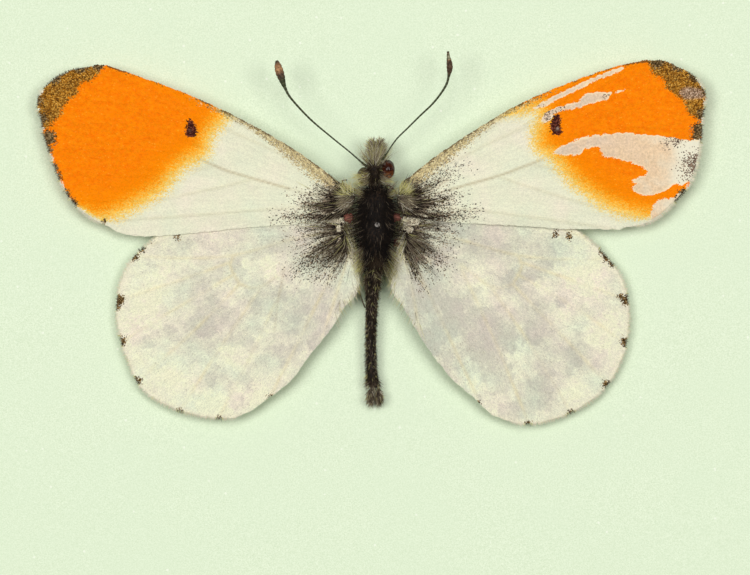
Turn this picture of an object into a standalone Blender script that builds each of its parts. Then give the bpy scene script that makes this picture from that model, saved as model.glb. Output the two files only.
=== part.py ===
"""A set orange-tip butterfly, pinned with spread wings to a small board of paper-faced foam.

Run with: blender --background --python part.py
Metres, +Z up. +Y is towards the head and +X is the insect's right-hand side seen from above.
The origin is the middle of the board's underside.
"""
import math

import bmesh
import bpy
from mathutils import Vector
from mathutils.geometry import delaunay_2d_cdt

MM = 0.001

# ---- driving dimensions ----
BOARD_LENGTH = 56.0 * MM
BOARD_WIDTH = 44.0 * MM
FOAM_THICKNESS = 6.0 * MM
PAPER_THICKNESS = 0.3 * MM
BOARD_CORNER = 0.6 * MM
CORNER_STEPS = 4
ROUND_PROFILE = 0.5                # Blender's bevel profile for a quarter circle

GAP = 0.3 * MM                     # between neighbours of the body, the wings and the board
FINE_GAP = 0.1 * MM                # between pieces that are only tenths of a millimetre thick

HALF_WINGSPAN = 22.0 * MM
WING_THICKNESS = 0.2 * MM
WING_ROOT_HEIGHT = 2.3 * MM        # heights are above the paper
LEFT_TIP_HEIGHT = 1.25 * MM
RIGHT_TIP_HEIGHT = 1.4 * MM
HINDWING_STEP = 0.45 * MM          # a hindwing lies this far under its forewing
LEFT_HINDWING_DROOP = 0.25 * MM    # and this much lower still at its outer end
RIGHT_HINDWING_DROOP = 0.52 * MM
WING_MESH_STEP = 1.6 * MM

BODY_X = 0.07 * MM                 # the body's midline, beside the board's middle
THORAX_TOP = 3.32 * MM
HEAD_HEIGHT = 1.95 * MM
BODY_SIDES = 20
BALL_SIDES = 16                    # of an eye, a clasper or a tegula
BALL_RINGS = 10
SHARP_ANGLE = math.radians(40)

PIN_DIAMETER = 0.36 * MM
PIN_SIDES = 16
PIN_X = 0.15 * MM
PIN_Y = 4.1 * MM
PIN_DEPTH = 5.0 * MM
PIN_STANDS_PROUD = 0.15 * MM

EYE_RADII = (0.38 * MM, 0.62 * MM, 0.6 * MM)
LEFT_EYE = (-0.74 * MM, 7.3 * MM)
RIGHT_EYE = (0.86 * MM, 7.78 * MM)
TEGULA_RADII = (0.4 * MM, 0.62 * MM, 0.12 * MM)
TEGULA_OFFSET = 1.78 * MM          # from the body's midline
TEGULA_Y = 5.95 * MM
TEGULA_HEIGHT = 2.78 * MM
CLASPER_RADII = (0.19 * MM, 0.5 * MM, 0.4 * MM)
CLASPER_OFFSET = 0.26 * MM         # from the middle of the abdomen's end
ABDOMEN_END_X = -0.01 * MM
CLASPER_Y = -7.18 * MM
CLASPER_HEIGHT = 0.68 * MM

PROBOSCIS_RADIUS = 0.045           # the coil's values are millimetres
COIL_RADIUS = 0.32
COIL_PITCH = 0.15
COIL_TURNS = 1.6
COIL_START = math.radians(80)
COIL_MIDDLE = (8.0, 0.78)          # y and height
COIL_POINTS = 15

PAPER_TOP = FOAM_THICKNESS + GAP + PAPER_THICKNESS

# ---- outlines, in millimetres from the board's middle ----
# Each wing runs from its root along the leading edge to the tip, and back along the rear edge.
FOREWING_LEFT = [
    (-1.7, 6.45), (-2.55, 7.1), (-4.95, 8.85), (-7.6, 10.45), (-10.25, 11.8), (-12.85, 12.95),
    (-15.5, 13.9), (-17.5, 14.6), (-18.7, 14.7), (-20.15, 14.4), (-21.45, 13.65), (-22.2, 12.75),
    (-22.35, 12.05), (-22.1, 11.0), (-21.9, 9.85), (-21.5, 8.8), (-21.0, 7.4), (-20.4, 6.15),
    (-19.6, 5.2), (-18.7, 4.5), (-17.5, 3.85), (-16.15, 3.45), (-14.3, 3.4), (-11.2, 3.65),
    (-8.25, 3.95), (-4.95, 4.2), (-2.3, 4.65), (-1.7, 5.0)]
FOREWING_RIGHT = [
    (1.7, 6.7), (2.3, 7.3), (4.3, 8.85), (6.95, 10.6), (9.55, 12.1), (12.2, 13.25),
    (14.85, 14.25), (16.85, 14.8), (18.5, 15.0), (19.85, 14.7), (21.1, 14.0), (21.85, 12.9),
    (21.8, 12.0), (21.65, 10.9), (21.6, 9.75), (21.4, 8.4), (21.0, 7.1), (20.35, 6.15),
    (19.35, 5.1), (18.15, 4.25), (16.5, 3.85), (14.5, 3.85), (12.55, 3.85), (10.25, 4.0),
    (7.6, 4.15), (4.95, 4.3), (2.45, 4.65), (1.7, 5.0)]
HINDWING_LEFT = [
    (-1.7, 4.65), (-2.95, 5.1), (-5.6, 5.4), (-8.25, 5.45), (-11.2, 5.1), (-13.55, 4.3),
    (-14.85, 3.05), (-15.95, 2.1), (-16.75, 0.7), (-17.15, -1.15), (-16.9, -3.35), (-16.35, -4.9),
    (-15.6, -6.5), (-14.3, -7.55), (-12.2, -8.4), (-9.7, -8.7), (-8.45, -8.35), (-7.15, -7.35),
    (-5.5, -6.1), (-4.3, -4.45), (-2.95, -2.8), (-2.0, -1.3), (-1.1, -0.15), (-1.05, 1.0),
    (-1.25, 2.15), (-1.55, 3.45)]
HINDWING_RIGHT = [
    (1.7, 4.65), (2.95, 5.1), (5.6, 5.4), (8.25, 5.45), (10.9, 5.05), (12.85, 4.25),
    (14.2, 3.15), (15.3, 2.15), (16.3, 0.75), (16.8, -1.0), (16.75, -3.15), (16.3, -4.9),
    (15.25, -6.65), (13.85, -7.8), (11.95, -8.7), (9.9, -9.05), (8.05, -8.6), (6.6, -7.35),
    (4.95, -5.85), (3.35, -3.8), (1.9, -1.35), (1.1, -0.15), (1.1, 1.0), (1.35, 2.15), (1.7, 3.45)]

# Each station of a body section is (x, y, height, half width, half depth), front to back.
HEAD_STATIONS = [
    (-0.05, 8.3, 1.95, 0.18, 0.4), (-0.05, 8.15, 1.95, 0.2, 0.55), (-0.05, 7.8, 1.95, 0.2, 0.72),
    (-0.05, 7.4, 1.95, 0.2, 0.75), (-0.05, 7.05, 1.95, 0.2, 0.62), (-0.05, 6.9, 1.95, 0.18, 0.45)]
THORAX_STATIONS = [
    (0.07, 6.58, 2.05, 0.5, 0.5), (0.07, 6.25, 2.1, 0.98, 0.85), (0.07, 5.6, 2.15, 1.33, 1.1),
    (0.07, 4.65, 2.15, 1.42, 1.2), (0.07, 3.65, 2.12, 1.35, 1.15), (0.05, 2.8, 2.05, 1.1, 1.0),
    (0.0, 2.0, 1.95, 0.82, 0.8), (-0.08, 1.45, 1.88, 0.66, 0.66)]
ABDOMEN_STATIONS = [
    (-0.12, 1.15, 1.8, 0.5, 0.52), (-0.15, 0.6, 1.62, 0.55, 0.6), (-0.18, -0.4, 1.34, 0.46, 0.55),
    (-0.24, -1.8, 1.04, 0.39, 0.5), (-0.27, -3.6, 0.82, 0.36, 0.46), (-0.24, -5.2, 0.74, 0.37, 0.45),
    (-0.15, -6.2, 0.72, 0.42, 0.47), (-0.08, -6.55, 0.7, 0.36, 0.38)]

# Each point of a limb is (x, y, height, radius), from the body outwards.
ANTENNA_LEFT = [
    (-0.55, 7.95, 2.38, 0.09), (-0.85, 8.2, 2.46, 0.06), (-1.65, 8.9, 2.52, 0.055),
    (-2.95, 9.95, 2.62, 0.055), (-4.3, 11.1, 2.75, 0.055), (-5.5, 12.4, 2.9, 0.06),
    (-5.88, 13.05, 2.95, 0.08), (-6.02, 13.4, 2.98, 0.17), (-6.15, 13.8, 3.0, 0.25),
    (-6.28, 14.2, 3.02, 0.28), (-6.38, 14.6, 3.04, 0.22), (-6.45, 14.9, 3.05, 0.08)]
ANTENNA_RIGHT = [
    (0.5, 8.38, 2.35, 0.09), (0.72, 8.75, 2.42, 0.06), (1.41, 9.74, 2.5, 0.055),
    (2.13, 10.46, 2.6, 0.055), (3.0, 11.32, 2.68, 0.055), (3.72, 12.0, 2.76, 0.055),
    (4.29, 12.69, 2.84, 0.06), (4.69, 13.34, 2.9, 0.065), (4.83, 13.85, 2.94, 0.09),
    (4.9, 14.35, 2.98, 0.18), (4.88, 14.75, 3.0, 0.17), (4.81, 15.2, 3.03, 0.09),
    (4.79, 15.52, 3.05, 0.05)]
PALP = [(0.2, 8.48, 1.5, 0.11), (0.24, 8.9, 1.55, 0.14), (0.3, 9.3, 1.75, 0.11), (0.33, 9.65, 1.9, 0.05)]
FORELEG_LEFT = [
    (-0.35, 5.6, 0.77, 0.1), (-0.8, 6.1, 0.62, 0.1), (-1.2, 6.4, 0.55, 0.08),
    (-1.6, 6.6, 0.7, 0.07), (-2.05, 6.85, 0.95, 0.05), (-2.15, 7.05, 1.15, 0.045),
    (-1.85, 7.1, 1.25, 0.04)]
FORELEG_RIGHT = [
    (0.35, 5.6, 0.77, 0.1), (0.7, 6.3, 0.62, 0.1), (0.85, 6.8, 0.6, 0.08),
    (1.2, 6.5, 0.5, 0.07), (1.6, 6.0, 0.4, 0.05), (1.7, 5.4, 0.35, 0.04)]
MIDLEG = [
    (0.35, 4.6, 0.77, 0.1), (0.8, 5.0, 0.6, 0.1), (1.25, 4.85, 0.5, 0.09),
    (1.7, 4.0, 0.4, 0.07), (1.9, 3.0, 0.32, 0.06), (1.95, 2.2, 0.28, 0.04)]
HINDLEG_LEFT = [
    (-0.21, 3.5, 0.78, 0.1), (-0.46, 3.85, 0.6, 0.1), (-0.76, 3.5, 0.5, 0.09),
    (-1.0, 2.2, 0.38, 0.07), (-1.12, 0.9, 0.35, 0.06), (-1.1, -0.05, 0.5, 0.05),
    (-0.66, -1.35, 0.7, 0.045)]
HINDLEG_RIGHT = [
    (0.35, 3.5, 0.78, 0.1), (0.6, 3.85, 0.6, 0.1), (0.75, 3.5, 0.5, 0.09),
    (0.6, 2.2, 0.38, 0.07), (0.4, 0.9, 0.3, 0.06), (0.15, -0.5, 0.26, 0.04)]
CURVE_STEPS = 3                    # points worked out between two hand-set points


def clear_scene():
    for obj in list(bpy.data.objects):
        bpy.data.objects.remove(obj, do_unlink=True)


def material(name, colour, roughness, metallic=0.0):
    look = bpy.data.materials.new(name)
    look.use_nodes = True
    shader = look.node_tree.nodes["Principled BSDF"]
    shader.inputs["Base Color"].default_value = (*colour, 1.0)
    shader.inputs["Roughness"].default_value = roughness
    shader.inputs["Metallic"].default_value = metallic
    return look


def add_object(name, data, look):
    obj = bpy.data.objects.new(name, data)
    obj.data.materials.append(look)
    bpy.context.scene.collection.objects.link(obj)
    return obj


def mesh_object(name, bm, look, smooth=True):
    bmesh.ops.recalc_face_normals(bm, faces=bm.faces)
    mesh = bpy.data.meshes.new(name)
    bm.to_mesh(mesh)
    bm.free()
    if smooth:
        mesh.shade_smooth()
        mesh.set_sharp_from_angle(angle=SHARP_ANGLE)
    return add_object(name, mesh, look)


def smooth_line(points, steps, closed=False):
    """Points along the Catmull-Rom curve through the given ones, which may have any number of values."""
    count = len(points)
    line = []
    for i in range(count if closed else count - 1):
        if closed:
            before, start, end, after = (points[(i + k) % count] for k in (-1, 0, 1, 2))
        else:
            before, start, end, after = (points[min(max(i + k, 0), count - 1)] for k in (-1, 0, 1, 2))
        for step in range(steps):
            t = step / steps
            line.append(tuple(
                0.5 * (2 * b + (c - a) * t + (2 * a - 5 * b + 4 * c - d) * t * t
                       + (3 * b - a - 3 * c + d) * t ** 3)
                for a, b, c, d in zip(before, start, end, after)))
    if not closed:
        line.append(tuple(points[-1]))
    return line


# ---- board and pin ----

def slab(name, bottom, thickness, look):
    """A rectangular sheet with rounded upright corners."""
    bm = bmesh.new()
    bmesh.ops.create_cube(bm, size=1.0)
    for vert in bm.verts:
        vert.co = Vector((vert.co.x * BOARD_LENGTH, vert.co.y * BOARD_WIDTH,
                          bottom + (vert.co.z + 0.5) * thickness))
    upright = [edge for edge in bm.edges if abs(edge.verts[0].co.z - edge.verts[1].co.z) > thickness / 2]
    bmesh.ops.bevel(bm, geom=upright, offset=BOARD_CORNER, segments=CORNER_STEPS,
                     profile=ROUND_PROFILE, affect="EDGES")
    return mesh_object(name, bm, look, smooth=False)


def upright_rod(name, diameter, bottom, top, look):
    bm = bmesh.new()
    bmesh.ops.create_cone(bm, cap_ends=True, segments=PIN_SIDES, radius1=diameter / 2,
                          radius2=diameter / 2, depth=top - bottom)
    bmesh.ops.translate(bm, vec=(PIN_X, PIN_Y, (top + bottom) / 2), verts=bm.verts)
    return mesh_object(name, bm, look)


def pierce(pieces, cutter):
    cutter.hide_render = True
    cutter.display_type = "WIRE"
    for piece in pieces:
        cut = piece.modifiers.new("pin hole", "BOOLEAN")
        cut.operation = "DIFFERENCE"
        cut.solver = "EXACT"
        cut.object = cutter


# ---- wings ----

def forewing_height(x):
    tip_height = RIGHT_TIP_HEIGHT if x > 0 else LEFT_TIP_HEIGHT
    return WING_ROOT_HEIGHT - (WING_ROOT_HEIGHT - tip_height) * abs(x) / HALF_WINGSPAN


def hindwing_height(x):
    droop = RIGHT_HINDWING_DROOP if x > 0 else LEFT_HINDWING_DROOP
    return forewing_height(x) - HINDWING_STEP - droop * abs(x) / HALF_WINGSPAN


def inside(point, outline):
    """True if the point lies within the closed outline."""
    x, y = point
    crossings = 0
    for (ax, ay), (bx, by) in zip(outline, outline[1:] + outline[:1]):
        if (ay > y) != (by > y) and x < ax + (y - ay) * (bx - ax) / (by - ay):
            crossings += 1
    return crossings % 2 == 1


def grid_points(outline, step):
    """Points of a square grid that lie within the outline, clear of its edge."""
    lows = [min(p[k] for p in outline) for k in (0, 1)]
    highs = [max(p[k] for p in outline) for k in (0, 1)]
    points = []
    for i in range(int((highs[0] - lows[0]) / step) + 1):
        for j in range(int((highs[1] - lows[1]) / step) + 1):
            point = (lows[0] + (i + 0.5) * step, lows[1] + (j + 0.5) * step)
            clear = min(math.dist(point, edge_point) for edge_point in outline) > 0.5 * step
            if clear and inside(point, outline):
                points.append(point)
    return points


def wing(name, outline_mm, height, look):
    """A thin curved sheet, WING_THICKNESS deep, whose middle surface is at height(x)."""
    outline = [(x * MM, y * MM) for x, y in smooth_line(outline_mm, 2, closed=True)]
    points = outline + grid_points(outline, WING_MESH_STEP)
    rim = [(i, (i + 1) % len(outline)) for i in range(len(outline))]
    corners, _, faces, *_ = delaunay_2d_cdt([Vector(p) for p in points], rim, [], 1, 1e-9)
    bm = bmesh.new()
    verts = [bm.verts.new((x, y, PAPER_TOP + height(x))) for x, y in corners]
    for face in faces:
        bm.faces.new([verts[i] for i in face])
    obj = mesh_object(name, bm, look)
    thick = obj.modifiers.new("thickness", "SOLIDIFY")
    thick.thickness = WING_THICKNESS
    thick.offset = 0.0
    return obj


# ---- body ----

def body_section(name, stations, look):
    """A closed body of elliptical rings, one at each station."""
    bm = bmesh.new()
    rings = []
    for x, y, height, half_width, half_depth in stations:
        turns = [math.tau * i / BODY_SIDES for i in range(BODY_SIDES)]
        rings.append([bm.verts.new(((x + half_width * math.cos(a)) * MM, y * MM,
                                    PAPER_TOP + (height + half_depth * math.sin(a)) * MM)) for a in turns])
    for front, back in zip(rings, rings[1:]):
        for i in range(BODY_SIDES):
            j = (i + 1) % BODY_SIDES
            bm.faces.new((front[i], front[j], back[j], back[i]))
    bm.faces.new(rings[0])
    bm.faces.new(rings[-1])
    return mesh_object(name, bm, look)


def ellipsoid(name, centre, radii, look):
    bm = bmesh.new()
    bmesh.ops.create_uvsphere(bm, u_segments=BALL_SIDES, v_segments=BALL_RINGS, radius=1.0)
    for vert in bm.verts:
        vert.co = Vector(c + r * v for c, r, v in zip(centre, radii, vert.co))
    return mesh_object(name, bm, look)


def limb(name, points_mm, look):
    """A tube along a smooth line, whose radius changes along it."""
    line = smooth_line(points_mm, CURVE_STEPS)
    curve = bpy.data.curves.new(name, "CURVE")
    curve.dimensions = "3D"
    curve.bevel_depth = 1.0 * MM
    curve.bevel_resolution = 2
    curve.use_fill_caps = True
    spline = curve.splines.new("POLY")
    spline.points.add(len(line) - 1)
    for point, (x, y, height, radius) in zip(spline.points, line):
        point.co = (x * MM, y * MM, PAPER_TOP + height * MM, 1.0)
        point.radius = radius
    return add_object(name, curve, look)


def mirrored(points):
    return [(2 * BODY_X / MM - x, *rest) for x, *rest in points]


def coil_points():
    """The coiled proboscis: a spiral in an upright plane, under the front of the head."""
    points = []
    for i in range(COIL_POINTS):
        share = i / (COIL_POINTS - 1)
        angle = COIL_START - share * COIL_TURNS * math.tau
        reach = COIL_RADIUS - COIL_PITCH * COIL_TURNS * share
        points.append((BODY_X / MM, COIL_MIDDLE[0] + reach * math.cos(angle),
                       COIL_MIDDLE[1] + reach * math.sin(angle), PROBOSCIS_RADIUS))
    return points


def build():
    clear_scene()
    foam_look = material("white_foam", (0.86, 0.87, 0.84), 0.9)
    paper_look = material("green_paper", (0.77, 0.88, 0.65), 0.85)
    steel_look = material("pin_steel", (0.6, 0.6, 0.6), 0.3, 1.0)
    white_look = material("wing_white", (0.78, 0.76, 0.56), 0.8)
    mottled_look = material("wing_mottled", (0.74, 0.72, 0.58), 0.8)
    body_look = material("dark_body", (0.02, 0.018, 0.014), 0.7)
    hair_look = material("olive_hair", (0.25, 0.24, 0.1), 0.9)
    eye_look = material("eye_brown", (0.06, 0.015, 0.008), 0.2)
    horn_look = material("antenna_brown", (0.16, 0.11, 0.06), 0.6)

    foam = slab("foam_board", 0.0, FOAM_THICKNESS, foam_look)
    paper = slab("paper_facing", FOAM_THICKNESS + GAP, PAPER_THICKNESS, paper_look)

    thorax = body_section("thorax", THORAX_STATIONS, body_look)
    body_section("head", HEAD_STATIONS, body_look)
    body_section("abdomen", ABDOMEN_STATIONS, body_look)

    pin_top = PAPER_TOP + THORAX_TOP + PIN_STANDS_PROUD
    pin_bottom = FOAM_THICKNESS - PIN_DEPTH
    upright_rod("pin", PIN_DIAMETER, pin_bottom, pin_top, steel_look)
    hole = upright_rod("pin_hole", PIN_DIAMETER + 2 * FINE_GAP, pin_bottom - FINE_GAP, pin_top + GAP,
                       steel_look)
    pierce([foam, paper, thorax], hole)

    wing("forewing_left", FOREWING_LEFT, forewing_height, white_look)
    wing("forewing_right", FOREWING_RIGHT, forewing_height, white_look)
    wing("hindwing_left", HINDWING_LEFT, hindwing_height, mottled_look)
    wing("hindwing_right", HINDWING_RIGHT, hindwing_height, mottled_look)

    for side, sign, (eye_x, eye_y) in (("left", -1, LEFT_EYE), ("right", 1, RIGHT_EYE)):
        eye_centre = (eye_x, eye_y, PAPER_TOP + HEAD_HEIGHT)
        tegula_centre = (BODY_X + sign * TEGULA_OFFSET, TEGULA_Y, PAPER_TOP + TEGULA_HEIGHT)
        clasper_centre = (ABDOMEN_END_X + sign * CLASPER_OFFSET, CLASPER_Y, PAPER_TOP + CLASPER_HEIGHT)
        ellipsoid(f"eye_{side}", eye_centre, EYE_RADII, eye_look)
        ellipsoid(f"tegula_{side}", tegula_centre, TEGULA_RADII, hair_look)
        ellipsoid(f"clasper_{side}", clasper_centre, CLASPER_RADII, body_look)

    limb("antenna_left", ANTENNA_LEFT, horn_look)
    limb("antenna_right", ANTENNA_RIGHT, horn_look)
    limb("palp_left", mirrored(PALP), hair_look)
    limb("palp_right", PALP, hair_look)
    limb("proboscis", coil_points(), horn_look)
    limb("foreleg_left", FORELEG_LEFT, horn_look)
    limb("foreleg_right", FORELEG_RIGHT, horn_look)
    limb("midleg_left", mirrored(MIDLEG), horn_look)
    limb("midleg_right", MIDLEG, horn_look)
    limb("hindleg_left", HINDLEG_LEFT, horn_look)
    limb("hindleg_right", HINDLEG_RIGHT, horn_look)


build()
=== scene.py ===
import itertools
import math

import bpy
import numpy as np
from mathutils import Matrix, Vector, noise
from mathutils.geometry import delaunay_2d_cdt


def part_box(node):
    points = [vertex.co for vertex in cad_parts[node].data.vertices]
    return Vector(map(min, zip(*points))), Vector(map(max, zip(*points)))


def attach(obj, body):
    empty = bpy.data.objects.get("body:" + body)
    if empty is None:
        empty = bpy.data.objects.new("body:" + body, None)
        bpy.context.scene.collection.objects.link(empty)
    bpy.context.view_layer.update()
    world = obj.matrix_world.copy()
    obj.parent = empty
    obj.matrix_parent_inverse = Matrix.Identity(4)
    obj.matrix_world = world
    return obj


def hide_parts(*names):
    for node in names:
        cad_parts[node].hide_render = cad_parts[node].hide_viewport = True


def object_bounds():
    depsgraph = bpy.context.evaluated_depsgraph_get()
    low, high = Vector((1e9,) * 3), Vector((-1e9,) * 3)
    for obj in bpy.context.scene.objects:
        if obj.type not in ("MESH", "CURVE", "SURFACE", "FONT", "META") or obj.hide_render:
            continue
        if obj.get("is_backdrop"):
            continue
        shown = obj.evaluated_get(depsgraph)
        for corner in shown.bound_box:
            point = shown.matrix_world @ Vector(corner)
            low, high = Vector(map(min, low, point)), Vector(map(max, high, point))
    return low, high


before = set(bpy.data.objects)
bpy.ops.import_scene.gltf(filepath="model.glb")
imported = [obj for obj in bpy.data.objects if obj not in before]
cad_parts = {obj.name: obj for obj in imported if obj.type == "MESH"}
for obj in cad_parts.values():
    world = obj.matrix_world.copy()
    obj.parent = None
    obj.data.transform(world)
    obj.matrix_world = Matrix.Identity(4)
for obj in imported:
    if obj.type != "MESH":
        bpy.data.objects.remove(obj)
cad_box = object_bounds()

# A set orange-tip butterfly on its pin and its paper-faced board. Every size and place below is in
# millimetres, with heights over the paper's face, until a mesh is made: meshes are in metres.
MM = 0.001

# ---- the board, the pin and the set of the wings, as the frame has them ----
FOAM_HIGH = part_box("foam_board")[1] / MM
PAPER_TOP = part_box("paper_facing")[1].z / MM
PIN_LOW, PIN_HIGH = (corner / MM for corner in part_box("pin"))
PIN_X, PIN_Y = ((PIN_LOW + PIN_HIGH) / 2).xy
PIN_RADIUS = (PIN_HIGH.x - PIN_LOW.x) / 2
BOARD_CORNER = 0.6
PAPER_THICKNESS = 0.25
FOAM_RIM_STEP, FOAM_LEVEL_STEP = 0.22, 0.2
FOAM_CELL, PORE_DEPTH = 0.42, 0.1

HALF_WINGSPAN = 22.0
WING_ROOT_HEIGHT = 2.3
TIP_HEIGHT = {"left": 1.25, "right": 1.4}
HINDWING_STEP = 0.45
HINDWING_DROOP = {"left": 0.25, "right": 0.52}
MEMBRANE_HALF = 0.035              # half the thickness of a wing's membrane
MEMBRANE_STEP = 0.13               # its mesh, on top and round its rim
UNDERSIDE_STEP = 0.36
MARGIN_INSET = 0.13                # how far the membrane stays behind the outline, for the fringe
FRINGE_BAND = (0.24, 0.1)          # from where to where behind the margin the fringe grows
FRINGE_STEP, FRINGE_LENGTH = 0.12, 0.26
VEIN_RIDGE, VEIN_WIDTH = 0.035, 0.085
COSTA_RIDGE, COSTA_WIDTH = 0.07, 0.16
SCALE_LENGTH, SCALE_WIDTH, SCALE_APART = 0.12, 0.074, 0.047
SCALE_THICKNESS = 0.01
SCALE_SEED, FRINGE_SEED, ROOT_HAIR_SEED, COAT_SEED = 11, 23, 37, 53
SIDES = ("left", -1), ("right", 1)  # with the sign of x on each

BODY_X = 0.07
HEAD_X = -0.05
HEAD_HEIGHT = 1.95
EYE_RADII = (0.44, 0.62, 0.6)
EYE_SHADED, EYE_PALE = 7.7, 7.3  # where along it the right eye starts to be pale, and is
EYE_PLACES = {"left": (-0.74, 7.3), "right": (0.86, 7.78)}
TEGULA_RADII = (0.4, 0.62, 0.12)
CLASPER_RADII = (0.19, 0.5, 0.4)
PROBOSCIS_RADIUS = 0.045

# ---- outlines of the wings: from the root along the leading edge to the tip, and back ----
OUTLINES = {
    "left_forewing": [
        (-1.7, 6.45), (-2.55, 7.1), (-4.95, 8.85), (-7.6, 10.45), (-10.25, 11.8), (-12.85, 12.95),
        (-15.5, 13.9), (-17.5, 14.6), (-18.7, 14.7), (-20.15, 14.4), (-21.45, 13.65), (-22.2, 12.75),
        (-22.35, 12.05), (-22.1, 11.0), (-21.9, 9.85), (-21.5, 8.8), (-21.0, 7.4), (-20.4, 6.15),
        (-19.6, 5.2), (-18.7, 4.5), (-17.5, 3.85), (-16.15, 3.45), (-14.3, 3.4), (-11.2, 3.65),
        (-8.25, 3.95), (-4.95, 4.2), (-2.3, 4.65), (-1.7, 5.0)],
    "right_forewing": [
        (1.7, 6.7), (2.3, 7.3), (4.3, 8.85), (6.95, 10.6), (9.55, 12.1), (12.2, 13.25),
        (14.85, 14.25), (16.85, 14.8), (18.5, 15.0), (19.85, 14.7), (21.1, 14.0), (21.85, 12.9),
        (21.8, 12.0), (21.65, 10.9), (21.6, 9.75), (21.4, 8.4), (21.0, 7.1), (20.35, 6.15),
        (19.35, 5.1), (18.15, 4.25), (16.5, 3.85), (14.5, 3.85), (12.55, 3.85), (10.25, 4.0),
        (7.6, 4.15), (4.95, 4.3), (2.45, 4.65), (1.7, 5.0)],
    "left_hindwing": [
        (-1.7, 4.65), (-2.95, 5.1), (-5.6, 5.4), (-8.25, 5.45), (-11.2, 5.1), (-13.55, 4.3),
        (-14.85, 3.05), (-15.95, 2.1), (-16.75, 0.7), (-17.15, -1.15), (-16.9, -3.35), (-16.35, -4.9),
        (-15.6, -6.5), (-14.3, -7.55), (-12.2, -8.4), (-9.7, -8.7), (-8.45, -8.35), (-7.15, -7.35),
        (-5.5, -6.1), (-4.3, -4.45), (-2.95, -2.8), (-2.0, -1.3), (-1.1, -0.15), (-1.05, 1.0),
        (-1.25, 2.15), (-1.45, 3.45)],
    "right_hindwing": [
        (1.7, 4.65), (2.95, 5.1), (5.6, 5.4), (8.25, 5.45), (10.9, 5.05), (12.85, 4.25),
        (14.2, 3.15), (15.3, 2.15), (16.3, 0.75), (16.8, -1.0), (16.75, -3.15), (16.3, -4.9),
        (15.25, -6.65), (13.85, -7.8), (11.95, -8.7), (9.9, -9.05), (8.05, -8.6), (6.6, -7.35),
        (4.95, -5.85), (3.35, -3.8), (1.9, -1.35), (1.1, -0.15), (1.1, 1.0), (1.35, 2.15),
        (1.55, 3.45)],
}
# How many points of each outline belong to its leading edge, and where its outer margin starts and ends
LEADING = {"left_forewing": 8, "right_forewing": 9, "left_hindwing": 6, "right_hindwing": 6}
FRINGED = {"left_forewing": (8, 21), "right_forewing": (9, 21),
           "left_hindwing": (5, 17), "right_hindwing": (5, 17)}
ROOTS = {"left_forewing": (-1.3, 5.6), "right_forewing": (1.3, 5.6),
         "left_hindwing": (-1.2, 3.9), "right_hindwing": (1.2, 3.9)}

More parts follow.
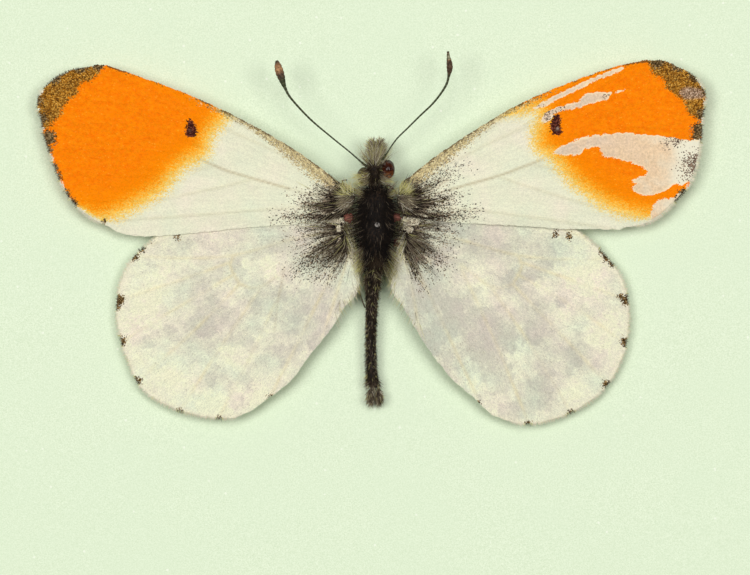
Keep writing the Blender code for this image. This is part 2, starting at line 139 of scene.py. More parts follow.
VEINS = {
    "left_forewing": [
        [(-2, 6.3), (-4.95, 8.55), (-8.25, 10.45), (-12.2, 12.55)],
        [(-1.8, 6.05), (-4.95, 8.1), (-8.25, 9.75), (-11.2, 11), (-14.85, 12.5), (-18.15, 13.5),
         (-20.8, 13.3)],
        [(-8.9, 10), (-12.2, 11.85), (-14.85, 13.55)],
        [(-10.65, 10.7), (-13.85, 12.5), (-16.85, 14.2)],
        [(-1.65, 5.45), (-5.6, 6.5), (-8.25, 7.25), (-9.9, 7.75), (-11.7, 8.75), (-12, 9.75),
         (-11.6, 10.9)],
        [(-11.75, 10.65), (-16.85, 12.2), (-22.1, 12.25)],
        [(-12, 9.85), (-17.5, 10.8), (-22, 10.6)],
        [(-11.75, 8.95), (-16.85, 9.1), (-21.6, 9.2)],
        [(-10.35, 8), (-15.5, 7.4), (-21.05, 7.6)],
        [(-7.9, 7.15), (-14.2, 5.85), (-20.15, 5.8)],
        [(-1.65, 5.2), (-5.6, 5.25), (-11.55, 4.8), (-17.9, 4.4)]],
    "right_forewing": [
        [(1.9, 6.45), (4.95, 8.9), (8.25, 10.9), (12.2, 12.95)],
        [(1.8, 6.05), (4.95, 8.15), (8.25, 9.85), (11.2, 11.05), (14.85, 12.65), (18.5, 13.7),
         (20.25, 14.1)],
        [(8.9, 10.15), (11.9, 12), (14.85, 13.95)],
        [(10.65, 10.8), (13.85, 12.65), (16.85, 14.55)],
        [(1.65, 5.45), (4.95, 6.45), (8.25, 7.4), (10.9, 8.4), (11.55, 9.1), (11.95, 10),
         (11.7, 11.1)],
        [(11.8, 10.9), (16.85, 12.1), (21.85, 12.3)],
        [(11.95, 10), (16.85, 10.6), (21.6, 10.35)],
        [(11.5, 9), (16.15, 8.95), (21.4, 8.35)],
        [(10.25, 8.1), (15.5, 7.1), (20.4, 6.25)],
        [(7.9, 7.35), (13.55, 5.6), (18.5, 4.45)],
        [(1.65, 5.2), (5.6, 5.2), (12.2, 4.4), (15.65, 3.85)]],
    "left_hindwing": [
        [(-2, 4.2), (-6.25, 4.7), (-11.2, 4.2), (-14.7, 2.85)],
        [(-2.05, 3.85), (-5.6, 3.15), (-9.25, 2.15), (-12.55, 1.95), (-15.9, 2.1)],
        [(-9.25, 2.15), (-9.5, 1.4), (-8.9, 0.25)],
        [(-9.45, 1.7), (-12.85, 0.5), (-16.9, -0.8)],
        [(-9.25, 0.9), (-12.85, -1.2), (-16.7, -3.55)],
        [(-8.9, 0.25), (-11.9, -2.8), (-15.65, -6.15)],
        [(-2, 3.4), (-4.95, 1.9), (-7.45, 0.1), (-8.9, 0.25)],
        [(-7.45, 0.1), (-10.1, -3.8), (-12.85, -8.1)],
        [(-5.5, 1.4), (-7.7, -3.45), (-10.3, -8.55)],
        [(-1.85, 2.95), (-4.3, -2), (-6.85, -7.1)],
        [(-1.65, 2.5), (-2.45, -0.15), (-3.5, -3.35)]],
    "right_hindwing": [
        [(2.1, 4.2), (6.25, 4.7), (11.2, 4.2), (14.05, 3.15)],
        [(2.2, 3.85), (5.6, 3.15), (9.35, 2.15), (12.55, 1.9), (15.4, 1.95)],
        [(9.35, 2.15), (9.65, 1.4), (9.05, 0.25)],
        [(9.55, 1.7), (13, 0.5), (16.65, -0.8)],
        [(9.35, 0.9), (13, -1.2), (16.45, -3.6)],
        [(9.05, 0.25), (12, -2.8), (15.3, -6.3)],
        [(2.1, 3.4), (5.1, 1.9), (7.6, 0.1), (9.05, 0.25)],
        [(7.6, 0.1), (10.25, -3.8), (12.95, -8.3)],
        [(5.6, 1.4), (7.85, -3.45), (10.15, -8.95)],
        [(2, 2.95), (4.3, -2), (6.8, -7.4)],
        [(1.8, 2.5), (2.45, -0.15), (2.95, -3.2)]],
}
BROWN_VEINS = {
    "left_forewing": [[(-11.55, 8.45), (-9.9, 7.76), (-8.25, 7.25), (-5.6, 6.5)]],
    "right_forewing": [[(4.95, 6.45), (8.25, 7.4), (9.55, 7.9), (10.9, 8.4)]],
    "left_hindwing": [[(-5.95, 1.35), (-6.35, -0.85), (-6.6, -2.8)]],
    "right_hindwing": [[(2.65, 1.7), (3.2, 0.15)]],
}

# ---- coloured patches of the forewings ----
ORANGE = {
    "left": [
        (-10.65, 12.65), (-10.1, 11.4), (-10.75, 10.55), (-11.2, 9.75), (-11.35, 9.1), (-12.2, 8.55),
        (-13, 8), (-13.65, 7.3), (-14.3, 6.55), (-15.4, 5.9), (-16.5, 5.3), (-17.6, 4.85),
        (-18.5, 4.65), (-19.2, 4.9), (-20.8, 4.3), (-23.55, 7.1), (-23.55, 15), (-16.85, 16.35)],
    "right": [
        (8.25, 12.2), (9.05, 11.85), (10.75, 12), (11.1, 11.2), (10.85, 10.35), (10.9, 9.4),
        (11.6, 8.9), (12.35, 8.15), (13.15, 7.2), (13.98, 6.55), (14.85, 5.95), (15.85, 5.45),
        (16.95, 5.05), (18.3, 4.8), (20.15, 4.8), (23.45, 7.1), (23.45, 16), (17.5, 16.35),
        (12.2, 14)],
}
TIP = {
    "left": [
        (-18.1, 15.15), (-18.1, 14.35), (-18.3, 13.95), (-18.8, 13.55), (-19.4, 13.45),
        (-19.55, 12.9), (-19.75, 12.65), (-20.25, 12.3), (-20.55, 11.9), (-20.65, 11.4),
        (-21.1, 11), (-21.45, 10.6), (-21.85, 10.45), (-23.45, 10.7), (-23.45, 15), (-20.8, 16.35)],
    "right": [
        (18, 15.7), (18.1, 14.6), (18.35, 14), (18.95, 13.75), (19.15, 13.15), (19.45, 12.95),
        (19.95, 12.55), (20.35, 12.25), (20.55, 11.65), (21, 11.25), (21.6, 11.05),
        (23.45, 11.05), (23.45, 15.7)],
}
CELL_SPOT = {
    "left": [(-12.2, 11.1), (-11.95, 10.9), (-11.75, 10.55), (-11.7, 10.05), (-12, 9.85),
             (-12.4, 10), (-12.45, 10.4), (-12.35, 10.8)],
    "right": [(11.95, 11.45), (12.2, 11.1), (12.15, 10.65), (12.3, 10.2), (12, 10), (11.6, 10.2),
              (11.5, 10.6), (11.6, 11.05)],
}
SPOT_PUPIL = {"left": (-12.14, 10.33, 0.045), "right": (11.97, 10.43, 0.07)}

# Patches of the right forewing where the scales are rubbed away
RUBBED = [
    [(10.35, 11.8), (11.2, 12.3), (12.45, 12.95), (13.85, 13.6), (15.05, 14.1), (15.85, 14.4),
     (16.45, 14.5), (15.85, 14.1), (14.85, 13.75), (13.75, 13.2), (12.45, 12.6), (11.7, 12.2),
     (10.95, 11.85)],
    [(10.9, 11.05), (11.3, 11.5), (11.9, 11.85), (12.75, 12.1), (13.4, 12.3), (13.8, 12.7),
     (14.45, 12.85), (15.45, 12.85), (16.5, 13.05), (16.45, 12.95), (15.5, 12.7), (15.3, 12.4),
     (14.5, 12.2), (13.65, 11.9), (13, 11.7), (12.2, 11.6), (11.7, 11.25), (11.3, 10.8)],
    [(11.7, 8.85), (12.3, 9.3), (13.05, 9.65), (14.05, 9.95), (15.1, 10.1), (16.45, 10.2),
     (17.8, 10.05), (18.8, 10), (19.65, 9.85), (20.8, 9.7), (22.5, 9.65), (22.5, 6.9),
     (20.8, 6.95), (20.2, 6.7), (19.75, 6.85), (19.35, 6.55), (18.8, 6.25), (18.15, 6.05),
     (17.5, 6.15), (16.9, 6.45), (17.1, 6.85), (16.85, 7.05), (17.4, 7.25), (17.95, 7.55),
     (17.7, 7.9), (17.1, 8.15), (16.3, 8.4), (15.6, 8.55), (15, 8.6), (14.85, 8.95),
     (14.65, 9.25), (14.25, 9.25), (13.85, 9.1), (13.35, 8.75), (12.45, 8.7)],
    [(18.15, 4.7), (18.3, 5.4), (18.7, 5.8), (19.55, 5.95), (20.15, 6.25), (20.55, 6.55),
     (22.5, 6.85), (22.5, 3.15), (18.8, 3.45)],
]
RUBBED_TIP = [(20.05, 12.85), (20.4, 13.15), (20.9, 13.15), (21.65, 12.95), (21.7, 12.55),
              (21.05, 12.45), (20.4, 12.45)]
# Dust of torn scales left on the rubbed patches: (x, y, reach, share)
RUBBED_DUST = [(11.2, 11.45, 0.4, 0.6), (12.2, 11.8, 0.35, 0.4), (15.2, 12.65, 0.2, 0.3),
               (19.9, 9.7, 0.42, 0.6), (19.2, 9.45, 0.3, 0.35), (20.95, 8.15, 0.62, 0.95),
               (20.6, 7.6, 0.45, 0.6), (20.4, 6.35, 0.25, 0.5)]

# ---- dark marks at the ends of the veins: (x, y, reach) ----
MARKS = {
    "left_forewing": [(-21.5, 9.85, 0.5), (-21.65, 9.15, 0.4), (-21.25, 7.9, 0.36),
                      (-21, 7.3, 0.36), (-20.4, 6.1, 0.36), (-19.95, 5.5, 0.36), (-17.8, 4.4, 0.16),
                      (-18.2, 14.75, 0.4), (-19.4, 14.6, 0.45), (-21.2, 13.9, 0.5),
                      (-22.2, 12.3, 0.3), (-22.0, 11.1, 0.4)],
    "right_forewing": [(21.35, 10.35, 0.5), (21.2, 9.9, 0.35), (20.3, 6.2, 0.33), (20.0, 5.8, 0.3),
                       (18.6, 14.95, 0.5), (19.9, 14.7, 0.45), (21.2, 14.0, 0.5), (21.9, 13.0, 0.4),
                       (21.6, 11.4, 0.4)],
    "left_hindwing": [(-15.9, 2.1, 0.34), (-15.4, 2.55, 0.25), (-16.85, -0.8, 0.33), (-17.0, -1.3, 0.2),
                      (-16.75, -3.55, 0.33), (-15.7, -6.15, 0.3), (-12.85, -8.25, 0.27),
                      (-10.25, -8.65, 0.25), (-6.85, -7.2, 0.2), (-14.7, 2.9, 0.18, 0.35),
                      (-13.0, 3.35, 0.3, 0.5)],
    "right_hindwing": [(15.35, 2.05, 0.33), (15.0, 2.4, 0.27), (15.6, 1.6, 0.23), (16.6, -0.8, 0.34),
                       (16.2, -0.6, 0.2), (16.5, -3.6, 0.3), (15.3, -6.4, 0.3), (12.95, -8.35, 0.31),
                       (10.1, -9.0, 0.25), (6.75, -7.6, 0.2), (11.85, 3.5, 0.28, 0.6),
                       (12.75, 3.4, 0.26, 0.6)],
}

# Where the fringe is cream although the tip is brown: (x, y, reach)
PALE_TIP_FRINGE = {
    "left_forewing": [(-21.9, 12.85, 0.3), (-21.95, 11.75, 0.28), (-21.65, 10.4, 0.3)],
    "right_forewing": [(21.3, 13.35, 0.5), (21.65, 12.2, 0.36), (21.35, 11.05, 0.33)],
}

# ---- dusting of dark scales at the wing roots: (line from the root, reach, share near, share far) ----
DUSTING = {
    "left_forewing": [
        ([(-1.9, 5.9), (-3.4, 6.15), (-4.9, 6.6)], 0.55, 1.25, 0.0),
        ([(-1.9, 5.3), (-3.6, 5.35), (-5.3, 5.7)], 0.5, 2.3, 0.1),
        ([(-1.8, 4.68), (-3.3, 4.68), (-4.9, 4.7), (-7.2, 4.6)], 0.38, 2.2, 0.0),
        ([(-2.7, 4.4), (-5.0, 4.25)], 0.4, 1.0, 0.0)],
    "right_forewing": [
        ([(1.9, 5.8), (3.5, 6.6), (5.6, 8.0)], 0.6, 1.25, 0.1),
        ([(1.9, 5.4), (3.65, 5.6), (5.4, 6.0)], 0.55, 2.0, 0.12),
        ([(1.7, 4.85), (3.3, 4.7), (4.9, 4.75), (7.2, 4.9)], 0.44, 2.4, 0.0),
        ([(2.6, 4.4), (5.2, 4.25)], 0.4, 1.0, 0.1)],
    "left_hindwing": [
        ([(-2.5, 4.15), (-3.6, 4.0), (-5.4, 3.75)], 0.42, 1.05, 0.1),
        ([(-1.8, 3.6), (-3.3, 3.55), (-5.6, 3.4)], 0.5, 1.2, 0.08),
        ([(-1.65, 3.5), (-3.3, 2.75), (-5.1, 1.9)], 0.6, 1.6, 0.08),
        ([(-1.8, 3.3), (-3.5, 2.1), (-5.2, 1.2)], 0.55, 1.5, 0.2),
        ([(-1.65, 3.3), (-2.85, 1.9), (-4.3, 0.1)], 0.55, 1.4, 0.0),
        ([(-1.65, 3.15), (-2.25, 1.95), (-3.1, 0.45)], 0.34, 1.2, 0.2)],
    "right_hindwing": [
        ([(2.6, 4.2), (4.2, 3.9), (5.4, 3.7)], 0.42, 1.0, 0.2),
        ([(1.8, 3.7), (3.3, 3.35), (5.6, 2.9)], 0.5, 1.1, 0.04),
        ([(1.8, 3.5), (3.3, 2.5), (5.0, 1.2)], 0.6, 1.6, 0.04),
        ([(1.65, 3.3), (2.3, 1.8), (2.8, 0.6), (3.4, -0.3)], 0.26, 1.7, 0.04),
        ([(1.7, 3.3), (2.9, 1.9), (4.3, 0.4)], 0.45, 1.3, 0.0)],
}
# Smooth pale plates and bare veins that the dusting leaves clear: (line, reach). The thin lines at the
# forewings' roots are bare vein and painted highlight both
CLEAR = {
    "left_forewing": [([(-3.45, 4.83), (-2.55, 4.98)], 0.06)],
    "right_forewing": [([(2.35, 4.93), (3.3, 4.74)], 0.06), ([(1.65, 5.18), (2.7, 5.32)], 0.05),
                       ([(3.3, 6.1), (4.75, 7.1)], 0.09)],
    "left_hindwing": [([(-2.05, 4.45), (-2.62, 4.38)], 0.24), ([(-2.45, 4.1), (-2.3, 3.8)], 0.16),
                      ([(-2.9, 4.38), (-2.75, 4.3)], 0.09), ([(-3.6, 3.22), (-2.6, 3.42)], 0.06),
                      ([(-3.6, 2.0), (-2.8, 2.55), (-2.3, 3.3)], 0.05)],
    "right_hindwing": [([(1.8, 4.35), (2.6, 4.3)], 0.26), ([(1.85, 3.95), (2.2, 3.8)], 0.2),
                       ([(2.25, 3.75), (2.15, 3.6)], 0.09), ([(2.5, 3.1), (4.2, 3.1)], 0.05),
                       ([(3.0, 2.2), (3.6, 1.75)], 0.05)],
}
RUST = {
    "left_forewing": [(-1.75, 4.75, 0.3), (-3.1, 5.3, 0.45), (-2.2, 4.68, 0.3)],
    "right_forewing": [(1.6, 4.75, 0.25), (3.0, 5.2, 0.3)],
    "left_hindwing": [(-1.85, 3.1, 0.4)],
    "right_hindwing": [(1.6, 3.0, 0.35), (2.75, 1.9, 0.25), (3.1, 2.0, 0.2)],
}

# ---- the marbling of the underside, which shows through the hindwings: (x, y, reach) ----
PALE_MARBLING = {
    "left_hindwing": [
        (-9.6, -0.3, 0.75), (-8.9, -1.2, 0.55), (-8.2, 1.3, 0.55), (-6.7, 1.3, 0.6),
        (-6.9, -2.5, 0.55), (-9.4, -4.3, 0.75), (-10.6, -7.8, 0.8), (-14.8, -0.8, 0.9),
        (-5, 0.2, 0.55), (-13.5, -5.6, 0.65), (-7.9, -7.1, 0.6)],
    "right_hindwing": [
        (8.9, -1.2, 0.6), (9.6, -4.9, 0.75), (7.1, 0.5, 1), (13.5, 0.7, 1.3), (12.2, -2.1, 0.8),
        (14.8, -2.8, 0.8), (6.3, -6.4, 0.65), (13.2, -7.1, 0.65), (10.9, -0.2, 0.65)],
}
DARK_MARBLING = {
    "left_hindwing": [
        (-9.2, 1, 0.65), (-7.9, -0.5, 0.85), (-10.8, -1.5, 0.6), (-9.4, -2.1, 0.6),
        (-11.6, -2.9, 0.75), (-8.6, -3.6, 0.6), (-6.3, -4.6, 0.75), (-14.7, -3.6, 0.55),
        (-13.5, -2.9, 0.6), (-10.8, -5.8, 0.6), (-4, -2.6, 0.8), (-12.1, 2.8, 0.8),
        (-11.6, 0.5, 0.6), (-8.6, -6.4, 0.55), (-5.9, -0.8, 0.6), (-4.6, -0.6, 0.8), (-5.2, -2.0, 0.7),
        (-13.0, 3.2, 0.4), (-5.4, 4.2, 0.6)],
    "right_hindwing": [
        (8.9, 0.5, 0.6), (6.9, -1.8, 0.65), (5.3, -1.4, 0.85), (8.1, -2.9, 0.9), (7.3, -3.8, 0.75),
        (8.6, -4, 0.55), (7.6, -4.8, 0.65), (8.4, -5.6, 0.65), (10.6, -3.6, 0.6),
        (10.9, -5.6, 0.55), (11, -6.9, 0.9), (3.8, -3.1, 0.75), (11.6, 2, 0.6), (3.3, -0.8, 0.8),
        (9.2, -8.1, 0.6), (13.2, -4.8, 0.6)],
}

# ---- the body: stations are (x, y, height, half width, half depth), limbs (x, y, height, radius) ----
HEAD_STATIONS = [
    (-0.05, 8.3, 1.95, 0.18, 0.4), (-0.05, 8.15, 1.95, 0.2, 0.55), (-0.05, 7.8, 1.95, 0.2, 0.72),
    (-0.05, 7.4, 1.95, 0.2, 0.75), (-0.05, 7.05, 1.95, 0.2, 0.62), (-0.05, 6.9, 1.95, 0.18, 0.45)]
THORAX_STATIONS = [
    (0.07, 6.58, 2.05, 0.5, 0.5), (0.07, 6.25, 2.1, 0.98, 0.85), (0.07, 5.6, 2.15, 1.33, 1.1),
    (0.07, 4.65, 2.15, 1.42, 1.2), (0.07, 3.65, 2.12, 1.35, 1.15), (0.05, 2.8, 2.05, 1.1, 1.0),
    (0.0, 2.0, 1.95, 0.82, 0.8), (-0.08, 1.45, 1.88, 0.66, 0.66)]
ABDOMEN_STATIONS = [
    (-0.12, 1.15, 1.8, 0.5, 0.52), (-0.15, 0.6, 1.62, 0.55, 0.6), (-0.18, -0.4, 1.34, 0.46, 0.55),
    (-0.24, -1.8, 1.04, 0.39, 0.5), (-0.27, -3.6, 0.82, 0.36, 0.46), (-0.24, -5.2, 0.74, 0.37, 0.45),
    (-0.15, -6.2, 0.72, 0.42, 0.47), (-0.08, -6.55, 0.7, 0.36, 0.38)]
ABDOMEN_SEGMENT = 1.05
# How much of the width and depth of each station the skin takes up, under the hair
THORAX_CORE, HEAD_CORE, ABDOMEN_CORE = (0.84, 0.88), (2.3, 0.85), (0.84, 0.88)
# The horny knobs that the wings hinge on: (x, y, height)
HINGES = {"left_forewing": (-1.7, 4.58, 2.2), "right_forewing": (1.4, 4.62, 2.2),
          "left_hindwing": (-1.62, 3.0, 1.8), "right_hindwing": (1.5, 2.95, 1.8)}
HINGE_RADII = (0.3, 0.26, 0.16)
ANTENNA = {
    "left": [
        (-0.55, 7.95, 2.38, 0.08), (-0.85, 8.2, 2.46, 0.06), (-1.65, 8.9, 2.52, 0.05),
        (-2.95, 9.95, 2.62, 0.055), (-4.3, 11.1, 2.75, 0.065), (-5.5, 12.4, 2.9, 0.075),
        (-5.88, 13.05, 2.95, 0.1), (-6.02, 13.4, 2.98, 0.17), (-6.15, 13.8, 3.0, 0.25),
        (-6.28, 14.2, 3.02, 0.28), (-6.38, 14.6, 3.04, 0.22), (-6.45, 14.9, 3.05, 0.08)],
    "right": [
        (0.5, 8.38, 2.35, 0.09), (0.72, 8.75, 2.42, 0.05), (1.41, 9.74, 2.5, 0.05),
        (2.13, 10.46, 2.6, 0.055), (3.0, 11.32, 2.68, 0.06), (3.72, 12.0, 2.76, 0.065),
        (4.29, 12.69, 2.84, 0.07), (4.69, 13.34, 2.9, 0.08), (4.83, 13.85, 2.94, 0.09),
        (4.9, 14.35, 2.98, 0.2), (4.88, 14.75, 3.0, 0.19), (4.81, 15.2, 3.03, 0.11),
        (4.79, 15.5, 3.05, 0.08)],
}
CLUB_FLATNESS = {"left": 0.62, "right": 1.3}
CLUB_START, CLUB_FULL = 0.82, 0.92   # where along an antenna it starts to flatten, and is flat
# Along an antenna, how far its colour has gone: 0 as the shaft, then brown, tan and at 1 pale grey
CLUB_TINT = {"left": [(0.84, 0.0), (0.9, 0.3), (0.93, 0.62), (0.97, 0.62), (1.0, 0.0)],
             "right": [(0.8, 0.0), (0.85, 0.3), (0.933, 0.34), (0.937, 1.0), (0.985, 1.0), (0.988, 0.25),
                       (1.0, 0.1)]}
PALP = [(0.2, 8.48, 1.5, 0.11), (0.24, 8.9, 1.55, 0.14), (0.3, 9.3, 1.75, 0.11), (0.33, 9.65, 1.9, 0.05)]
FORELEG = {
    "left": [
        (-0.35, 5.6, 0.77, 0.1), (-0.8, 6.1, 0.62, 0.1), (-1.2, 6.4, 0.55, 0.08),
        (-1.6, 6.6, 0.7, 0.07), (-2.05, 6.85, 0.95, 0.05), (-2.15, 7.05, 1.15, 0.045),
        (-1.85, 7.1, 1.25, 0.04)],
    "right": [
        (0.35, 5.6, 0.77, 0.1), (0.7, 6.3, 0.62, 0.1), (0.85, 6.8, 0.6, 0.08),
        (1.2, 6.5, 0.5, 0.07), (1.6, 6.0, 0.4, 0.05), (1.7, 5.4, 0.35, 0.04)],
}
MIDLEG = [
    (0.35, 4.6, 0.77, 0.1), (0.8, 5.0, 0.6, 0.1), (1.25, 4.85, 0.5, 0.09),
    (1.7, 4.0, 0.4, 0.07), (1.9, 3.0, 0.32, 0.06), (1.95, 2.2, 0.28, 0.04)]
HINDLEG = {
    "left": [
        (-0.21, 3.5, 0.78, 0.1), (-0.46, 3.85, 0.6, 0.1), (-0.76, 3.5, 0.5, 0.09),
        (-1.0, 2.2, 0.38, 0.07), (-1.12, 0.9, 0.35, 0.06), (-1.1, -0.05, 0.5, 0.05),
        (-0.66, -1.35, 0.7, 0.045)],
    "right": [
        (0.35, 3.5, 0.78, 0.1), (0.6, 3.85, 0.6, 0.1), (0.75, 3.5, 0.5, 0.09),
        (0.6, 2.2, 0.38, 0.07), (0.4, 0.9, 0.3, 0.06), (0.15, -0.5, 0.26, 0.04)],
}

# Where a hair's colour lies on the ramp of the hair's material
BLACK, BROWN, GREY, OLIVE, CREAM = 0.04, 0.27, 0.48, 0.73, 0.95
# The odd pale hair is partly a real pale hair and partly a painted glint on the dark coat
PALE_HAIR_AND_GLINT_STEP = 0.42                   # how much lighter the odd pale hair is


# ---- lines, outlines and smooth fields, on arrays of places ----

def smooth_line(points, steps, closed=False):
    """Points along the Catmull-Rom curve through the given ones."""
    knots = np.array(points, float)
    count = len(knots)
    t = np.linspace(0, 1, steps, endpoint=False)[:, None]
    line = []
    for i in range(count if closed else count - 1):
        near = [i + k if closed else min(max(i + k, 0), count - 1) for k in (-1, 0, 1, 2)]
        a, b, c, d = (knots[k % count] for k in near)
        line.append(0.5 * (2 * b + (c - a) * t + (2 * a - 5 * b + 4 * c - d) * t ** 2
                           + (3 * b - a - 3 * c + d) * t ** 3))
    return np.vstack(line if closed else [*line, knots[-1:]])


def evenly(line, step, closed=False):
    """The same line with its points about one step apart."""
    path = np.vstack([line, line[:1]]) if closed else line
    run = np.concatenate([[0], np.cumsum(np.linalg.norm(np.diff(path[:, :3], axis=0), axis=1))])
    count = max(round(run[-1] / step), 2)
    stops = np.linspace(0, run[-1], count if closed else count + 1, endpoint=not closed)
    return np.stack([np.interp(stops, run, column) for column in path.T], axis=1)


def nearest_on(places, line, closed=False):
    """How far each place is from a line, and what share of the way along the line it is nearest to."""
    starts = line if closed else line[:-1]
    ends = np.roll(line, -1, axis=0) if closed else line[1:]
    best = np.full(len(places), np.inf)
    share = np.zeros(len(places))
    for i, (start, end) in enumerate(zip(starts, ends)):
        step = end - start
        t = np.clip((places - start) @ step / max(step @ step, 1e-12), 0, 1)
        far = np.hypot(*(places - start - t[:, None] * step).T)
        closer = far < best
        best[closer] = far[closer]
        share[closer] = (i + t[closer]) / len(starts)
    return best, share


def is_inside(places, outline):
    inside = np.zeros(len(places), bool)
    x, y = places.T
    for (ax, ay), (bx, by) in zip(outline, np.roll(outline, -1, axis=0)):
        if ay != by:
            inside ^= ((ay > y) != (by > y)) & (x < ax + (y - ay) * (bx - ax) / (by - ay))
    return inside


def depth_in(places, points, steps=4):
    """How deep each place lies in a patch, which is negative outside it."""
    outline = smooth_line(points, steps, closed=True)
    far, _ = nearest_on(places, outline, closed=True)
    return np.where(is_inside(places, outline), far, -far)


def from_lines(places, lines):
    """How far each place is from the nearest of several lines."""
    return np.min([nearest_on(places, smooth_line(line, 5))[0] for line in lines], axis=0)


def peak(values, width):
    """1 where the values are 0, falling off on both sides over that width."""
    return np.exp(-(values / width) ** 2)


def bumps(places, spots):
    """1, or its own share, at the middle of each round spot (x, y, reach), and falling off around it."""
    total = np.zeros(len(places))
    for x, y, reach, *share in spots:
        away = np.hypot(places[:, 0] - x, places[:, 1] - y)
        total = np.maximum(total, peak(away, reach) * (share or [1])[0])
    return total


def streaks(places, lines):
    """The strongest of several soft streaks (line, reach, strength near, strength far)."""
    total = np.zeros(len(places))
    for line, reach, near, far in lines:
        away, share = nearest_on(places, smooth_line(line, 5))
        strength = near + (far - near) * np.minimum(share, 1) ** 0.8
        total = np.maximum(total, strength * peak(away, reach * (0.7 + 0.5 * share)))
    return total


def patches(places, size, seed):
    """The middle of the random patch that each place lies in. The patches are about that size."""
    table = np.random.default_rng(seed).uniform(0.05, 0.95, (61, 61, 2))
    cell = np.floor(places / size).astype(int)
    best = np.full(len(places), np.inf)
    middle = np.zeros_like(places)
    for step in itertools.product((-1, 0, 1), repeat=2):
        near = cell + step
        point = (near + table[near[:, 0] % 61, near[:, 1] % 61]) * size
        far = np.linalg.norm(places - point, axis=1)
        closer = far < best
        best[closer] = far[closer]
        middle[closer] = point[closer]
    return middle


def swells(places, length, seed):
    """A smooth random field, about -1 to 1, with its swells about length apart."""
    draw = np.random.default_rng(seed)
    total = np.zeros(len(places))
    for _ in range(8):
        angle, phase = draw.uniform(0, math.tau, 2)
        pace = math.tau / (length * draw.uniform(0.7, 1.5))
        total += np.sin(pace * (places[:, 0] * math.cos(angle) + places[:, 1] * math.sin(angle)) + phase)
    return total / 3.5


def ease(values, low, high):
    """0 below low, 1 above high, and smooth between them."""
    t = np.clip((values - low) / (high - low), 0, 1)
    return t * t * (3 - 2 * t)


def ways(x, y, z=0.0):
    """Vectors from their three parts, of which some are arrays and some plain numbers."""
    return np.column_stack(np.broadcast_arrays(x, y, z))


def turning(rim):
    """Twice the area inside a closed rim, which is negative where the rim runs clockwise."""
    after = np.roll(rim, -1, axis=0)
    return np.sum(rim[:, 0] * after[:, 1] - after[:, 0] * rim[:, 1])


def left_of(ahead):
    """The unit vectors to the left of a line that runs ahead."""
    ahead = ahead / np.linalg.norm(ahead, axis=1)[:, None]
    return np.stack([-ahead[:, 1], ahead[:, 0]], axis=1)


# ---- meshes ----

def add_fields(mesh, fields):
    """Puts arrays of numbers or vectors on a mesh's points, each under its name."""
    for name, values in fields.items():
        values = np.asarray(values, np.float32)
        kind, key = ("FLOAT", "value") if values.ndim == 1 else ("FLOAT_VECTOR", "vector")
        mesh.attributes.new(name, kind, "POINT").data.foreach_set(key, values.ravel())


def points_of(mesh, what="co"):
    """The places of a mesh's points in metres, or their normals."""
    values = np.empty(len(mesh.vertices) * 3)
    mesh.vertices.foreach_get(what, values)
    return values.reshape(-1, 3)


def new_mesh(name, places, faces, edges=()):
    """A mesh in metres from places in millimetres over the board's underside."""
    mesh = bpy.data.meshes.new(name)
    mesh.from_pydata((np.asarray(places, float) * MM).tolist(), edges, faces)
    mesh.update()
    return mesh


def volume(mesh):
    mesh.calc_loop_triangles()
    corners = np.empty(len(mesh.loop_triangles) * 3, int)
    mesh.loop_triangles.foreach_get("vertices", corners)
    a, b, c = points_of(mesh)[corners.reshape(-1, 3)].transpose(1, 0, 2)
    return np.einsum("ij,ij->i", a, np.cross(b, c)).sum() / 6


def add_piece(name, mesh, finishes, slot, *nodes, smooth=True):
    """Puts a finished mesh in the scene as a piece that rides with the insect and stands for CAD nodes."""
    if volume(mesh) < 0:
        mesh.flip_normals()
    if smooth:
        mesh.shade_smooth()
    mesh.materials.clear()
    for finish in finishes.split():
        mesh.materials.append(looks[finish])
    mesh.name = name
    piece = bpy.data.objects.new(name, mesh)
    bpy.context.scene.collection.objects.link(piece)
    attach(piece, "root")
    if nodes:
        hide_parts(*nodes)


def triangulated(rim, step, extra=()):
    """Triangles that fill a closed rim: all the points, the rim's first, and the faces."""
    low, high = rim.min(axis=0), rim.max(axis=0)
    rows = np.arange(low[1], high[1], step * 0.866)
    x, y = np.meshgrid(np.arange(low[0], high[0], step), rows)
    x = x + (np.arange(len(rows))[:, None] % 2) * step / 2
    grid = np.vstack([np.stack([x.ravel(), y.ravel()], axis=1), *extra])
    grid = grid[is_inside(grid, rim)]
    grid = grid[nearest_on(grid, rim, closed=True)[0] > 0.55 * step]
    edges = [(i, (i + 1) % len(rim)) for i in range(len(rim))]
    points = [Vector(p) for p in np.vstack([rim, grid])]
    corners, _, faces, origins, *_ = delaunay_2d_cdt(points, edges, [], 1, 1e-7)
    order = [origin[0] for origin in origins]
    places = np.zeros((len(points), 2))
    places[order] = [tuple(corner) for corner in corners]
    return places, [tuple(order[i] for i in face) for face in faces]


def sheet(rim, top_step, under_step, extra=()):
    """The flat plan of a closed sheet: places, faces, for each place 1 on top or -1 below, and the faces'
    material slots. The top's first places are the rim, as are the underside's, and a wall joins the two."""
    top, top_faces = triangulated(rim, top_step, extra)
    under, under_faces = triangulated(rim, under_step)
    shift, count = len(top), len(rim)
    faces = top_faces + [tuple(shift + i for i in reversed(face)) for face in under_faces]
    wall = [(i, shift + i, shift + (i + 1) % count, (i + 1) % count) for i in range(count)]
    if turning(rim) < 0:
        wall = [tuple(reversed(face)) for face in wall]
    side = np.concatenate([np.ones(len(top)), -np.ones(len(under))])
    slots = [0] * len(top_faces) + [1] * len(under_faces) + [0] * count
    return np.vstack([top, under]), faces + wall, side, slots


def tube_faces(rings, sides, first=0):
    """The faces between rings of points, of which the first has that number."""
    starts = [first + ring * sides for ring in range(rings)]
    return [(a + i, a + (i + 1) % sides, b + (i + 1) % sides, b + i)
            for a, b in zip(starts, starts[1:]) for i in range(sides)]


